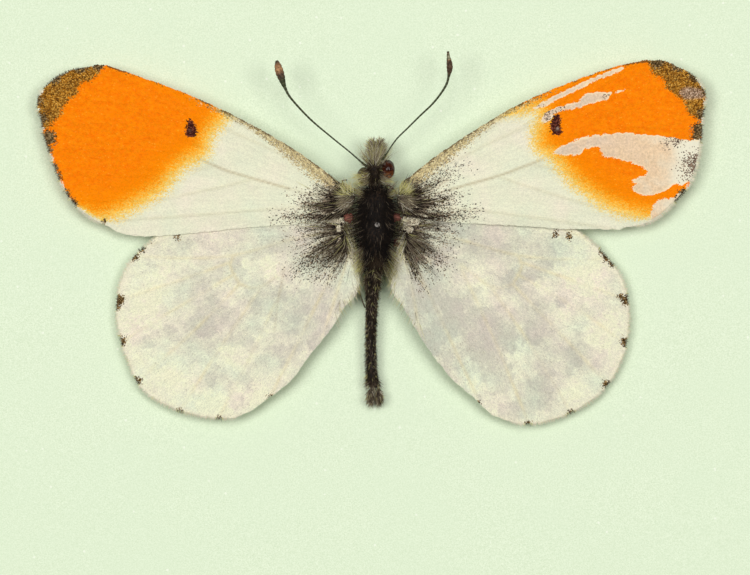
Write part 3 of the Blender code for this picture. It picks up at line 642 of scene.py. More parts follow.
def capped(rings, sides):
    """The faces of a tube of rings that a flat face closes at each end."""
    last = (rings - 1) * sides
    return tube_faces(rings, sides) + [tuple(range(sides))[::-1], tuple(range(last, last + sides))]


def pointed(rings, sides):
    """The faces of a tube of rings between a first point and a last one."""
    tail, end = 1 + (rings - 1) * sides, 1 + rings * sides
    return ([(0, 1 + (i + 1) % sides, 1 + i) for i in range(sides)] + tube_faces(rings, sides, 1)
            + [(end, tail + i, tail + (i + 1) % sides) for i in range(sides)])


# ---- nodes ----

class Flow:
    """One output of a node. Sums, products and comparisons of flows make the nodes for them."""

    def __init__(self, nodes, socket):
        self.nodes, self.socket = nodes, socket

    def out(self, name):
        """Another output of the same node."""
        return Flow(self.nodes, self.socket.node.outputs[name])

    def is_vector(self):
        return self.socket.type == "VECTOR"


for sign, operation in (("add", "ADD"), ("sub", "SUBTRACT"), ("mul", "MULTIPLY"), ("truediv", "DIVIDE"),
                        ("gt", "GREATER_THAN"), ("lt", "LESS_THAN")):
    setattr(Flow, f"__{sign}__", lambda self, other, kind=operation: self.nodes.maths(kind, self, other))
    if operation in ("ADD", "SUBTRACT", "MULTIPLY", "DIVIDE"):
        setattr(Flow, f"__r{sign}__", lambda self, other, kind=operation: self.nodes.maths(kind, other, self))


class Nodes:
    """The nodes of one tree: a material's, or those of a group with named inputs and outputs."""

    def __init__(self, tree):
        self.tree = tree

    def add(self, kind, inputs=(), out=0, **settings):
        """A new node's output. inputs gives its sockets, by name or number, a value or a flow."""
        made = self.tree.nodes.new(kind)
        for name, value in settings.items():
            setattr(made, name, value)
        for key, value in dict(inputs).items():
            self.put(value, made.inputs[key])
        return Flow(self, made.outputs[out])

    def put(self, value, socket):
        if isinstance(value, Flow):
            self.tree.links.new(value.socket, socket)
        else:
            socket.default_value = value

    def maths(self, operation, *values, **settings):
        """A Math node, or a Vector Math node where a value is a vector."""
        vectors = [isinstance(value, Flow) and value.is_vector() for value in values]
        if operation == "MULTIPLY" and vectors == [True, False]:
            return self.add("ShaderNodeVectorMath", {0: values[0], "Scale": values[1]}, operation="SCALE")
        kind = "ShaderNodeVectorMath" if any(vectors) else "ShaderNodeMath"
        return self.add(kind, enumerate(values), operation=operation, **settings)

    def xyz(self, x=0.0, y=0.0, z=0.0):
        return self.add("ShaderNodeCombineXYZ", enumerate((x, y, z)))

    # A group's own ends
    def take(self, name):
        return self.given.out(name)

    def give(self, **results):
        for name, value in results.items():
            self.put(value, self.result[name])
        return self.tree

    # In a geometry tree
    def read(self, name, kind="FLOAT"):
        """The field of that name."""
        return self.add("GeometryNodeInputNamedAttribute", {"Name": name}, data_type=kind)

    def way(self, name):
        return self.read(name, "FLOAT_VECTOR")

    def keep(self, geometry, name, value, kind=None, domain="POINT"):
        """Stores a field under a name."""
        kind = kind or ("FLOAT_VECTOR" if value.is_vector() else "FLOAT")
        inputs = {"Geometry": geometry, "Name": name, "Value": value}
        return self.add("GeometryNodeStoreNamedAttribute", inputs, data_type=kind, domain=domain)

    def chance(self, low, high, seed):
        """A random number for each point."""
        return self.add("FunctionNodeRandomValue", {2: low, 3: high, "Seed": seed}, 1, data_type="FLOAT")

    def stray(self, seed):
        """A random vector for each point, from -1 to 1 each way."""
        return self.add("FunctionNodeRandomValue", {0: (-1, -1, -1), 1: (1, 1, 1), "Seed": seed},
                        data_type="FLOAT_VECTOR")

    def here(self):
        return self.add("GeometryNodeInputPosition")

    def swept(self, line, sides, radius, scale):
        """The mesh of a round profile swept along a line."""
        profile = self.add("GeometryNodeCurvePrimitiveCircle", {"Resolution": sides, "Radius": radius})
        return self.add("GeometryNodeCurveToMesh",
                        {"Curve": line, "Profile Curve": profile, "Scale": scale, "Fill Caps": True})

    def dressed(self, geometry):
        """Ends a tree: its instances realized and its material set."""
        whole = self.add("GeometryNodeRealizeInstances", {0: geometry})
        whole = self.add("GeometryNodeSetMaterial", {0: whole, "Material": self.take("Look")})
        return self.give(Geometry=whole)

    # In a material
    def field(self, name):
        """A surface's own attribute, as a number."""
        return self.add("ShaderNodeAttribute", out="Fac", attribute_name=name)

    def place(self):
        return self.add("ShaderNodeTexCoord", out="Object")

    def stretched(self, x, y, z):
        return self.add("ShaderNodeMapping", {"Vector": self.place(), "Scale": (x, y, z)})

    def clouds(self, size, detail=2.0, roughness=0.5, place=None):
        """Smooth noise, 0 to 1, with lumps of that size in millimetres."""
        return self.add("ShaderNodeTexNoise", {"Vector": place or self.place(), "Scale": 1 / (size * MM),
                                               "Detail": detail, "Roughness": roughness})

    def cells(self, size):
        """Random cells of that size in millimetres: how far off each one's middle is, and its two lots."""
        inputs = {"Vector": self.place(), "Scale": 1 / (size * MM)}
        middle = self.add("ShaderNodeTexVoronoi", inputs, "Distance")
        lots = self.add("ShaderNodeSeparateColor", {0: middle.out("Color")})
        return middle, lots, lots.out(1)

    def spread(self, value, low, high, to_low=0.0, to_high=1.0):
        return self.add("ShaderNodeMapRange", enumerate((value, low, high, to_low, to_high)))

    def mixed(self, share, first, second, way="MIX"):
        return self.add("ShaderNodeMix", {0: share, 6: paint(first), 7: paint(second)}, 2, data_type="RGBA",
                        blend_type=way)

    def coated(self, colour, *coats):
        """A colour under several coats, each a share and a colour."""
        for share, coat in coats:
            colour = self.mixed(share, colour, coat)
        return colour

    def shaded(self, colour, shade):
        """A colour times a number."""
        grey = self.add("ShaderNodeCombineColor", dict.fromkeys(range(3), shade))
        return self.mixed(1.0, colour, grey, "MULTIPLY")

    def ramp(self, value, stops):
        """A colour ramp through places from 0 to 1, each with its colour."""
        made = self.add("ShaderNodeValToRGB", {0: value})
        elements = made.socket.node.color_ramp.elements
        while len(elements) < len(stops):
            elements.new(1.0)
        for element, (place, colour) in zip(elements, stops.items()):
            element.position = place
            element.color = paint(colour)
        return made

    def relief(self, height, distance, strength=1.0):
        """A bumped normal from a height, in millimetres at full strength."""
        return self.add("ShaderNodeBump", {"Strength": strength, "Distance": distance * MM, "Height": height})

    def finish(self, colour, roughness, gloss, normal=None, **others):
        """Sets the shader of a material, whose own constant values go straight on its sockets."""
        shader = self.tree.nodes["Principled BSDF"].inputs
        values = {"Base Color": colour, "Roughness": roughness, "Specular IOR Level": gloss, **others}
        if normal:
            values["Normal"] = normal
        for name, value in values.items():
            self.put(value, shader[name.replace("_", " ")])
        return self.look


def node_group(kind, name, inputs, outputs):
    """A new group. inputs and outputs give for each kind of socket its names, split by commas."""
    nodes = Nodes(bpy.data.node_groups.new(name, kind))
    for way, sockets in (("INPUT", inputs), ("OUTPUT", outputs)):
        for socket_kind, names in sockets.items():
            for socket in names.split(", "):
                nodes.tree.interface.new_socket(socket, in_out=way, socket_type=f"NodeSocket{socket_kind}")
    nodes.given = nodes.add("NodeGroupInput")
    nodes.result = nodes.tree.nodes.new("NodeGroupOutput").inputs
    return nodes


def geometry_tree(name, **inputs):
    """A geometry group that takes a geometry and a material besides its own inputs."""
    return node_group("GeometryNodeTree", name, {"Geometry": "Geometry", **inputs, "Material": "Look"},
                      {"Geometry": "Geometry"})


def new_look(name):
    """The nodes of a new material."""
    look = bpy.data.materials.new(name)
    look.use_nodes = True
    nodes = Nodes(look.node_tree)
    nodes.look = look
    return nodes


def grown(tree, mesh, look, values):
    """The plain mesh that a geometry tree makes of a mesh, with the tree's named inputs set."""
    base = bpy.data.objects.new("base", mesh)
    modifier = base.modifiers.new(tree, "NODES")
    modifier.node_group = trees[tree]
    values = {**values, "Look": looks[look]}
    for item in trees[tree].interface.items_tree:
        if item.in_out == "INPUT" and item.name in values:
            modifier[item.identifier] = values[item.name]
    bpy.context.scene.collection.objects.link(base)
    graph = bpy.context.evaluated_depsgraph_get()
    made = bpy.data.meshes.new_from_object(base.evaluated_get(graph), preserve_all_data_layers=True,
                                           depsgraph=graph)
    base.modifiers.remove(modifier)
    bpy.data.objects.remove(base)
    return made


def hair_tree():
    """Tapered hairs over a surface, each rising along its lie and bending over."""
    n = geometry_tree("hair_coat", Int="Joints, Seed",
                      Float="Density, Thickness, Lift, Spread, Droop, Taper, Tone Spread, Pale Share")
    seed, lie = n.take("Seed"), n.way("hair_lie")
    roots = n.add("GeometryNodeDistributePointsOnFaces", {
        "Mesh": n.take("Geometry"), "Density": n.take("Density") * n.read("hair_amount"), "Seed": seed})
    length = n.read("hair_length") * n.chance(0.6, 1.2, seed)
    curl = n.stray(seed + 1.0) * (n.take("Spread") * 0.6)
    way = roots.out("Normal") * n.take("Lift") + (lie + n.stray(seed) * n.take("Spread"))
    # the odd pale hair: partly real pale hair, partly a painted glint on the dark coat
    pale = n.chance(0.0, 1.0, seed + 2.0) < n.take("Pale Share")
    own_tone = n.chance(-1.0, 1.0, seed + 1.0) * n.take("Tone Spread")
    points = n.keep(roots, "root", n.here())
    points = n.keep(points, "rise", n.maths("NORMALIZE", way) * length)
    points = n.keep(points, "sweep", (lie * n.take("Droop") + curl) * length)
    points = n.keep(points, "tone", n.read("hair_tone") + own_tone + pale * PALE_HAIR_AND_GLINT_STEP)

    line = n.add("GeometryNodeCurvePrimitiveLine", {"Start": (0, 0, 0), "End": (0, 0, MM)})
    strand = n.add("GeometryNodeResampleCurve", {"Curve": line, "Count": n.take("Joints")})
    planted = n.add("GeometryNodeInstanceOnPoints", {"Points": points, "Instance": strand})
    strands = n.add("GeometryNodeRealizeInstances", {0: planted})
    t = n.add("GeometryNodeSplineParameter", out="Factor")
    bent = n.way("rise") * t + n.way("sweep") * (t * t)
    strands = n.add("GeometryNodeSetPosition", {0: strands, "Position": n.way("root") + bent})
    strands = n.keep(strands, "along", t)
    hairs = n.swept(strands, 3, n.take("Thickness") * 0.5, 1.0 - t * t * n.take("Taper"))
    spot = n.xyz(n.read("tone"), n.read("along"))
    return n.dressed(n.keep(hairs, "OFBake", spot, "FLOAT2", "CORNER"))


def scale_tree():
    """Wing scales: small shields laid like tiles along the lie of a membrane, with each one's own chances."""
    n = geometry_tree("wing_scales", Float="Apart, Length, Width, Tilt, Disorder", Int="Seed")
    seed, apart, length = n.take("Seed"), n.take("Apart"), n.take("Length")
    sockets = n.add("GeometryNodeDistributePointsOnFaces", {
        "Mesh": n.take("Geometry"), "Selection": n.read("scaly"), "Distance Min": apart,
        "Density Max": 2.6 / (apart * apart), "Seed": seed}, distribute_method="POISSON")
    points = n.keep(sockets, "chance", n.chance(0.0, 1.0, seed))
    points = n.keep(points, "whim", n.chance(0.0, 1.0, seed + 1.0))
    lost = n.read("bare") + (n.read("whim") * 0.05 - 0.025) > 0.0
    points = n.add("GeometryNodeDeleteGeometry", {0: points, "Selection": lost}, domain="POINT")
    laid = n.add("FunctionNodeAxesToRotation", {0: sockets.out("Normal"), 1: n.way("lie")},
                 primary_axis="Z", secondary_axis="X")
    turn = n.stray(seed + 2.0) * n.take("Disorder") + n.xyz(y=n.take("Tilt") * -1.0)
    laid = n.add("FunctionNodeRotateRotation", {0: laid, 1: n.add("FunctionNodeEulerToRotation", {0: turn})},
                 rotation_space="LOCAL")

    # A three-sided spike laid over on its longest edge is a kite with a low keel, broad end out
    spike = n.add("GeometryNodeMeshCone", {
        "Vertices": 3, "Radius Top": 0.0, "Radius Bottom": 1.0, "Depth": 1.0})
    spike = n.add("GeometryNodeTransform", {0: spike, "Rotation": (0.0, -math.pi / 4, math.pi)})
    shape = n.xyz(length / math.sqrt(2), n.take("Width") / math.sqrt(3), SCALE_THICKNESS * MM)
    shield = n.add("GeometryNodeTransform", {0: spike, "Translation": n.xyz(length * 0.42), "Scale": shape})
    planted = n.add("GeometryNodeInstanceOnPoints", {
        "Points": points, "Instance": shield, "Rotation": laid, "Scale": n.chance(0.85, 1.15, seed + 3.0)})
    whole = n.add("GeometryNodeRealizeInstances", {0: planted})
    plan = n.maths("MULTIPLY_ADD", n.here(), (0.5 / (HALF_WINGSPAN * MM),) * 3, (0.5, 0.5, 0.0))
    return n.dressed(n.keep(whole, "OFBake", plan, "FLOAT2", "CORNER"))


def limb_tree():
    """A ringed limb along a line of points, each with its own radius and flatness."""
    n = geometry_tree("ringed_limb", Float="Ring Spacing, Ring Depth", Int="Sides")
    line = n.keep(n.add("GeometryNodeMeshToCurve", {0: n.take("Geometry")}), "centre", n.here())
    line = n.keep(line, "run", n.add("GeometryNodeSplineParameter", out="Length"))
    turns = n.read("run") / n.take("Ring Spacing") * math.tau
    waist = n.maths("POWER", 1.0 - n.maths("ABSOLUTE", n.maths("SINE", turns * 0.5)), 3.0)
    line = n.keep(line, "waist", waist)
    radius = n.read("limb_radius") * (1.0 - waist * n.take("Ring Depth"))
    skin = n.swept(line, n.take("Sides"), 1.0, radius)
    around = (n.here() - n.way("centre")) * n.xyz(1.0, 1.0, n.read("flatness"))
    return n.dressed(n.add("GeometryNodeSetPosition", {0: skin, "Position": n.way("centre") + around}))


def eye_tree():
    """A compound eye: a ball of small six-sided lenses, each raised a little."""
    n = geometry_tree("compound_eye", Vector="Radii, Centre", Float="Lens Rise")
    ball = n.add("GeometryNodeMeshIcoSphere", {"Radius": 1.0, "Subdivisions": 5})
    lenses = n.add("GeometryNodeDualMesh", {0: ball})
    raised = n.add("GeometryNodeExtrudeMesh", {
        "Mesh": lenses, "Individual": True, "Offset Scale": n.take("Lens Rise")}, mode="FACES")
    domed = n.add("GeometryNodeScaleElements", {0: raised, "Selection": raised.out("Top"), "Scale": 0.72},
                  domain="FACE")
    return n.dressed(n.add("GeometryNodeTransform", {0: domed, "Translation": n.take("Centre"),
                                                     "Scale": n.take("Radii")}))


# ---- materials: a colour of three parts is one as the screen shows it, from 0 to 255 ----

LIGHT_LEVEL = 1.06                 # what the lamps and the room's light give a level white surface
ORANGE_FADE = 0.5                  # how much of the fade to white each millimetre takes
FAN_RAYS = 45                      # faint rays of light and shade for each radian round a wing's root
WING_CHANCES = {"Float": "Chance, Whim, Tone"}
WING_COLOURS = {"Color": "Color", "Float": "Dark"}


def paint(colour):
    """The surface colour that shows as a screen colour when it lies level under the lamps. A colour of
    four parts, or one that nodes make, stays as it is."""
    if isinstance(colour, Flow) or len(colour) == 4:
        return colour
    shares = [value / 255 for value in colour]
    linear = [s / 12.92 if s <= 0.04045 else ((s + 0.055) / 1.055) ** 2.4 for s in shares]
    return tuple(min(value / LIGHT_LEVEL, 0.95) for value in linear) + (1.0,)


def dust_group():
    """Dark scales strewn over a wing, rust at its root, and pale plates and vein lines that are partly
    painted highlight. Colour in, colour out.
    """
    n = node_group("ShaderNodeTree", "dusted_root", {"Color": "Base", "Float": "Chance, Whim"}, WING_COLOURS)
    lot, whim, dust = n.take("Chance"), n.take("Whim"), n.field("dust")
    dusty, marked = dust > lot, n.field("mark") > lot
    soil = n.ramp(dust, {0.2: (190, 174, 144), 0.9: (76, 62, 50)})
    # pale plates, and along the forewings' root veins a painted highlight
    pale_plate_and_highlight = n.ramp(whim, {0.0: (168, 148, 122), 0.35: (210, 198, 168), 1.0: (230, 222, 194)})
    rust = n.ramp(whim, {0.0: (66, 26, 20), 1.0: (140, 78, 60)})
    dark = n.ramp(whim - n.spread(dust, 0.7, 1.6, 0.0, 0.65), {
        0.0: (16, 12, 10), 0.3: (42, 35, 30), 0.62: (100, 86, 70), 1.0: (184, 166, 138)})
    mark = n.ramp(whim, {0.0: (46, 33, 15), 0.55: (90, 67, 36), 1.0: (172, 144, 98)})
    colour = n.coated(n.take("Base"), (n.spread(dust, 0.2, 1.5, 0.0, 0.9), soil), (n.field("clear"), pale_plate_and_highlight),
                      (n.field("rust") * 0.8, rust), (dusty, dark), (marked, mark))
    return n.give(Color=colour, Dark=n.maths("MAXIMUM", dusty, marked))


def finished_wing(n, dusted, colour, low, high, also_dark=None):
    """Ends a wing's colour group: dust over its colours, and some light and shade from scale to scale."""
    dust = n.add("ShaderNodeGroup", {"Base": colour, "Chance": n.take("Chance"), "Whim": n.take("Whim")},
                 node_tree=dusted)
    fan = n.add("ShaderNodeAttribute", out="Vector", attribute_name="fan")
    rays = n.add("ShaderNodeTexNoise", {"Vector": fan, "Scale": 1.0, "Detail": 2.0})
    shade = n.spread(n.take("Whim"), 0, 1, low, high) * n.spread(rays, 0.3, 0.7, 0.965, 1.035)
    dark = dust.out("Dark")
    if also_dark:
        dark = n.maths("MAXIMUM", dark, also_dark)
    return n.give(Color=n.shaded(dust, shade), Dark=dark)


def forewing_group(dusted):
    """The forewing's upper colours, from its fields and each scale's chances."""
    n = node_group("ShaderNodeTree", "forewing_colours", WING_CHANCES, WING_COLOURS)
    lot, whim, orange = n.take("Chance"), n.take("Whim"), n.field("orange")
    uneven = lot - 0.5
    white = n.ramp(n.take("Tone"), {0.25: (229, 233, 206), 0.5: (235, 234, 207), 0.72: (240, 233, 210)})
    white = n.coated(white, (n.field("vein_line") * 0.3, (214, 206, 170)),
                     (n.field("brown_vein") * 0.5, (172, 150, 108)))

    # The orange thins through yellow to white, scale by scale
    graded = uneven * 0.36 + (orange * ORANGE_FADE + 0.5)
    graded = n.maths("SUBTRACT", graded, n.field("yellow_rim") * 0.5, use_clamp=True)
    yellow = n.ramp(graded, {
        0.0: (240, 228, 168), 0.3: (246, 212, 108), 0.62: (253, 172, 34), 0.85: (253, 142, 2)})
    deep = n.ramp(n.clouds(0.3, 3.0, 0.7), {0.35: (250, 124, 2), 0.65: (255, 144, 8)})
    yellow = n.mixed(n.spread(orange, 0.7, 2.2), yellow, deep)
    flecked = (whim > 0.99) * (graded > 0.8)
    colour = n.coated(white, (n.spread(graded, 0.05, 0.3), yellow), (flecked * 0.35, (254, 200, 70)))

    # The tan strip and dark line of the leading edge, the brown tip, which is lilac where it is rubbed,
    # the dark spot in the cell and the pale fringe scales
    tan = n.ramp(whim, {0.0: (72, 55, 32), 0.2: (150, 121, 74), 0.5: (194, 170, 106), 0.75: (206, 182, 124),
                        1.0: (234, 222, 168)})
    line = n.field("edge_line") > lot * 0.7
    tip = uneven * 0.3 + n.field("tip") > 0.0
    brown = n.ramp(whim, {0.0: (62, 38, 12), 0.3: (128, 80, 20), 0.7: (184, 122, 32), 1.0: (226, 176, 82)})
    lilac = n.ramp(whim, {0.0: (96, 74, 54), 0.5: (166, 136, 108), 1.0: (222, 198, 180)})
    brown = n.coated(brown, (n.spread(n.clouds(0.8), 0.35, 0.6, 0.3, 0.0), (84, 56, 24)),
                     (n.field("lilac"), lilac))
    spot = n.ramp(whim, {0.0: (38, 14, 10), 0.7: (78, 34, 24), 1.0: (140, 78, 60)})
    colour = n.coated(colour, ((n.field("costal") > lot) * 0.8, tan), (line * 0.8, (92, 70, 36)),
                      (tip, brown), (uneven * 0.2 + n.field("spot") > 0.0, spot),
                      (n.field("pupil"), (214, 190, 170)), (n.field("pale_fringe") > lot, (244, 238, 212)))
    return finished_wing(n, dusted, colour, 0.9, 1.08, tip)


def marbling(n):
    """The marbling of a hindwing's underside, with its fine unevenness."""
    return n.field("marbling") + n.spread(n.clouds(0.55, 3.0, 0.65), 0.3, 0.7, -0.3, 0.3)


def hindwing_group(dusted):
    """The hindwing's upper colours: white, with the marbling of the underside showing through as grey."""
    n = node_group("ShaderNodeTree", "hindwing_colours", WING_CHANCES, WING_COLOURS)
    whim, tone = n.take("Whim"), n.take("Tone")
    marbled = (n.take("Chance") - 0.5) * 0.5 + marbling(n)
    grey = n.ramp(tone, {0.3: (202, 206, 187), 0.5: (206, 203, 185), 0.7: (210, 201, 187)})
    white = n.ramp(tone, {0.3: (233, 238, 211), 0.5: (239, 236, 209), 0.7: (242, 231, 211)})
    showing = n.spread(n.clouds(2.6), 0.42, 0.64, 0.08, 0.5)
    peppered = marbled * 0.014 + whim > 0.985
    colour = n.coated(white, (n.spread(marbled, -0.25, 0.95), grey),
                      (n.spread(marbled, -0.3, -0.55, 0.0, 0.6), (240, 240, 206)),
                      (n.field("yellow_rim") * 0.8, (243, 236, 208)),
                      (n.field("vein_line") * showing, (238, 224, 176)),
                      (n.field("brown_vein") * 0.35, (170, 150, 116)), (peppered * 0.5, (140, 128, 106)))
    return finished_wing(n, dusted, colour, 0.85, 1.1)


def cuticle_group():
    """The horny skin of body and limbs: a fine leathery grain, as a value and a height."""
    n = node_group("ShaderNodeTree", "cuticle_grain", {"Float": "Size"}, {"Float": "Grain, Height"})
    scale = 1000.0 / n.take("Size")
    lumps = n.add("ShaderNodeTexNoise", {
        "Vector": n.place(), "Scale": scale, "Detail": 4.0, "Roughness": 0.6})
    plates = n.add("ShaderNodeTexVoronoi", {"Vector": n.place(), "Scale": scale * 2.5}, "Distance")
    return n.give(Grain=lumps, Height=lumps + plates)


def wing_coat_look(name, colours):
    """The look of a wing's scales, each coloured as a whole by its own chances."""
    n = new_look(name)
    made = n.add("ShaderNodeGroup", {"Chance": n.field("chance"), "Whim": n.field("whim"),
                                     "Tone": n.clouds(2.2, 3.0)}, node_tree=colours)
    roughness = n.spread(made.out("Dark"), 0, 1, 0.9, 0.62)
    return n.finish(made, roughness, 0.03, n.relief(n.clouds(0.03, 1.0), 0.004, 0.6))


def membrane_look(name, colours, bare_top):
    """The look of a membrane's upper side: as the scales over it, and lilac and pink where rubbed bare, with
    a painted highlight along each rubbed edge.
    """
    n = new_look(name)
    middle, lot, whim = n.cells(0.065)
    chances = {"Chance": lot, "Whim": whim, "Tone": n.clouds(2.2, 3.0)}
    colour = n.add("ShaderNodeGroup", chances, node_tree=colours)
    if bare_top:
        film = n.ramp(n.clouds(1.1, 3.0, 0.6) + n.field("outwards"), {
            0.2: (220, 198, 173), 0.45: (230, 202, 170), 0.75: (234, 204, 166), 1.0: (236, 216, 185)})
        film = n.shaded(film, n.spread(n.clouds(0.15, 3.0, 0.75), 0.3, 0.7, 0.78, 1.18))
        crumb = n.ramp(whim, {0.0: (60, 46, 38), 1.0: (160, 136, 114)})
        film = n.coated(film, (n.field("white_end"), (238, 236, 212)),
                        # painted highlight: a pale band just inside the edge of each rubbed patch, where the
                        # torn edge of the scales catches the light
                        (n.spread(n.field("bare"), 0.02, 0.14, 0.8, 0.0), (250, 228, 186)),
                        (n.field("crumbs") > lot, crumb))
        colour = n.mixed(n.field("bare") > -0.02, colour, film)
    return n.finish(colour, 0.72, 0.12, n.relief(middle * -1.0, 0.02, 0.5))


def underside_look(name, marbled):
    """A wing's underside: white, and on the hindwing marbled with moss green round yellow veins."""
    n = new_look(name)
    middle, lot, _ = n.cells(0.1)
    powder = n.ramp(lot, {0.0: (0.88, 0.88, 0.88, 1), 1.0: (1.04, 1.04, 1.04, 1)})
    colour = n.ramp(n.clouds(1.6, 3.0), {0.3: (226, 226, 204), 0.7: (240, 236, 214)})
    if marbled:
        moss = n.ramp(lot, {0.0: (66, 74, 40), 0.6: (122, 130, 60), 1.0: (176, 170, 84)})
        colour = n.coated(colour, (n.spread(lot * 0.5 + marbling(n), 0.12, 0.3), moss),
                          (n.field("vein_line") * 0.8, (200, 186, 70)))
    else:
        edge = lot * 0.3 + n.field("tip") > 0.1
        colour = n.coated(colour, (n.spread(n.field("orange"), -0.2, 1.0, 0.0, 0.55), (248, 176, 96)),
                          (edge * 0.6, (150, 146, 84)))
    colour = n.mixed(1.0, colour, powder, "MULTIPLY")
    return n.finish(colour, 0.85, 0.1, n.relief(middle * -1.0, 0.02, 0.5))


def hair_look():
    """Hair and fringe scales, coloured along the ramp by each hair's tone, with painted shade at the root."""
    n = new_look("insect_hair")
    tone, along = n.field("tone"), n.field("along")
    tones = n.ramp(tone, {
        0.0: (20, 17, 16), 0.22: (58, 45, 28), 0.36: (102, 87, 71), 0.5: (158, 142, 121),
        0.64: (192, 182, 140), 0.74: (224, 219, 128), 0.84: (234, 227, 164), 0.95: (246, 239, 217)})
    # painted shade: each hair darker at its root, where the coat shades it; the palest hairs take less of it
    shade = n.ramp(along, {0.0: (0.6, 0.6, 0.6, 1), 0.5: (1.0, 1.0, 1.0, 1)})
    colour = n.mixed(n.spread(tone, 0.75, 0.88, 1.0, 0.2), tones, shade, "MULTIPLY")
    return n.finish(colour, n.spread(along, 0, 1, 0.5, 0.7), 0.12)


def body_look(cuticle):
    n = new_look("dark_cuticle")
    grain = n.add("ShaderNodeGroup", {"Size": 0.12}, node_tree=cuticle)
    colour = n.ramp(grain, {0.3: (13, 11, 11), 0.5: (26, 21, 18), 0.7: (66, 50, 36)})
    normal = n.relief(grain.out("Height"), 0.02, 0.7)
    return n.finish(colour, n.spread(grain, 0.3, 0.7, 0.38, 0.6), 0.1, normal)


def horn_look(name, cuticle, shaft, ring, clubbed=False):
    """Limb horn, with a ring of another colour at each joint, and an antenna's club in its own colours."""
    n = new_look(name)
    grain = n.add("ShaderNodeGroup", {"Size": 0.06}, node_tree=cuticle)
    dark = tuple(0.55 * value for value in paint(shaft)[:3]) + (1.0,)
    colour = n.mixed(n.field("waist"), n.ramp(grain, {0.3: dark, 0.7: shaft}), ring)
    if clubbed:
        tint = n.field("club")
        club = n.ramp(tint, {0.0: shaft, 0.3: (96, 74, 56), 0.62: (190, 142, 98), 1.0: (158, 152, 122)})
        speckle = n.ramp(n.clouds(0.16, 3.0, 0.7), {0.36: (0.24, 0.23, 0.19, 1), 0.6: (1.0, 1.0, 1.0, 1)})
        colour = n.mixed(n.spread(tint, 0.0, 0.15), colour, n.mixed(1.0, club, speckle, "MULTIPLY"))
    normal = n.relief(grain.out("Height"), 0.008, 0.6)
    return n.finish(colour, n.spread(grain, 0.3, 0.7, 0.45, 0.7), 0.2, normal)


def eye_look():
    """Glossy dark red lenses, banded with tan at the right eye's lower end, and olive on the left eye."""
    n = new_look("eye_lenses")
    colour = n.ramp(n.clouds(0.35, 3.0), {0.3: (26, 8, 4), 0.55: (54, 21, 9), 0.75: (92, 42, 16)})
    across = n.add("ShaderNodeSeparateXYZ", {0: n.place()})
    low = n.spread(across.out(1), EYE_SHADED * MM, EYE_PALE * MM)
    banded = n.spread(n.clouds(0.22, 3.0, 0.7), 0.42, 0.58)
    colour = n.coated(colour, (banded * (low * 0.7), (176, 112, 62)), ((across < 0.0) * 0.85, (88, 80, 50)))
    return n.finish(colour, n.spread(n.clouds(0.2), 0.3, 0.7, 0.1, 0.24), 0.25,
                    n.relief(n.clouds(0.02), 0.002, 0.4), Coat_Weight=0.3, Coat_Roughness=0.03)


def steel_look():
    """Drawn steel wire: long fine scratches, a little dulled, and darker on its cut end."""
    n = new_look("drawn_steel")
    lines = n.clouds(0.02, place=n.stretched(1.0, 1.0, 0.03))
    bright = n.ramp(n.clouds(0.4, 3.0), {0.3: (0.5, 0.5, 0.49, 1), 0.7: (0.7, 0.7, 0.69, 1)})
    darkened_end = n.ramp(n.clouds(0.09, 3.0), {0.35: (0.03, 0.026, 0.022, 1), 0.7: (0.12, 0.11, 0.1, 1)})
    cut_end = n.add("ShaderNodeSeparateXYZ", {0: n.place()}, 2) > (PIN_HIGH.z - 0.05) * MM
    return n.finish(n.mixed(cut_end, bright, darkened_end), n.spread(lines, 0.3, 0.7, 0.25, 0.5), 0.5,
                    n.relief(lines, 0.003, 0.5), Metallic=1.0)


def paper_look():
    """Pale green mounting paper: a faint felt grain, cloudy dye and a few pale flecks."""
    n = new_look("green_paper")
    fine, cloudy = n.clouds(0.09, 3.0, 0.75), n.clouds(5.5, 4.0, 0.6)
    fibres = n.clouds(0.11, 2.0, 0.6, n.stretched(1.0, 0.22, 1.0))
    middle, lot, _ = n.cells(0.55)
    colour = n.ramp(fine, {0.3: (211, 227, 194), 0.5: (227, 240, 210), 0.7: (243, 254, 227)})
    colour = n.coated(colour, (n.spread(cloudy, 0.35, 0.7, 0.0, 0.5), (224, 239, 209)),
                      ((lot > 0.92) * (middle < 0.15) * 0.8, (246, 252, 232)),
                      (n.spread(fibres, 0.66, 0.8, 0.0, 0.35), (218, 236, 204)))
    normal = n.relief(fine + fibres * 0.6, 0.02, 0.35)
    return n.finish(colour, n.spread(fine, 0.3, 0.7, 0.85, 0.96), 0.15, normal)


def foam_look():
    """White closed-cell foam, as cut: fine cells, some open, each cell's hollow middle painted darker as
    shade.
    """
    n = new_look("white_foam")
    middle, lot, _ = n.cells(0.28)
    # painted shade: each cell darker towards its hollow middle
    colour = n.ramp(middle, {0.0: (206, 208, 200), 0.35: (224, 226, 219), 0.6: (238, 239, 233)})
    colour = n.mixed(lot * 0.25, colour, (214, 215, 207))
    return n.finish(colour, n.spread(lot, 0, 1, 0.7, 0.9), 0.3, n.relief(middle, 0.1, 0.8))


def floor_look():
    n = new_look("pale_floor")
    colour = n.ramp(n.clouds(60.0), {0.3: (0.74, 0.74, 0.73, 1), 0.7: (0.77, 0.77, 0.76, 1)})
    return n.finish(colour, 0.9, 0.5)


# ---- the wings ----

def wing_slope(name, places):
    """The height of a wing without its relief: it slopes from the root, and a hindwing lies lower."""
    side = name.split("_")[0]
    outwards = np.abs(places[:, 0]) / HALF_WINGSPAN
    height = WING_ROOT_HEIGHT - (WING_ROOT_HEIGHT - TIP_HEIGHT[side]) * outwards
    if name.endswith("hindwing"):
        height -= HINDWING_STEP + HINDWING_DROOP[side] * outwards
    return height


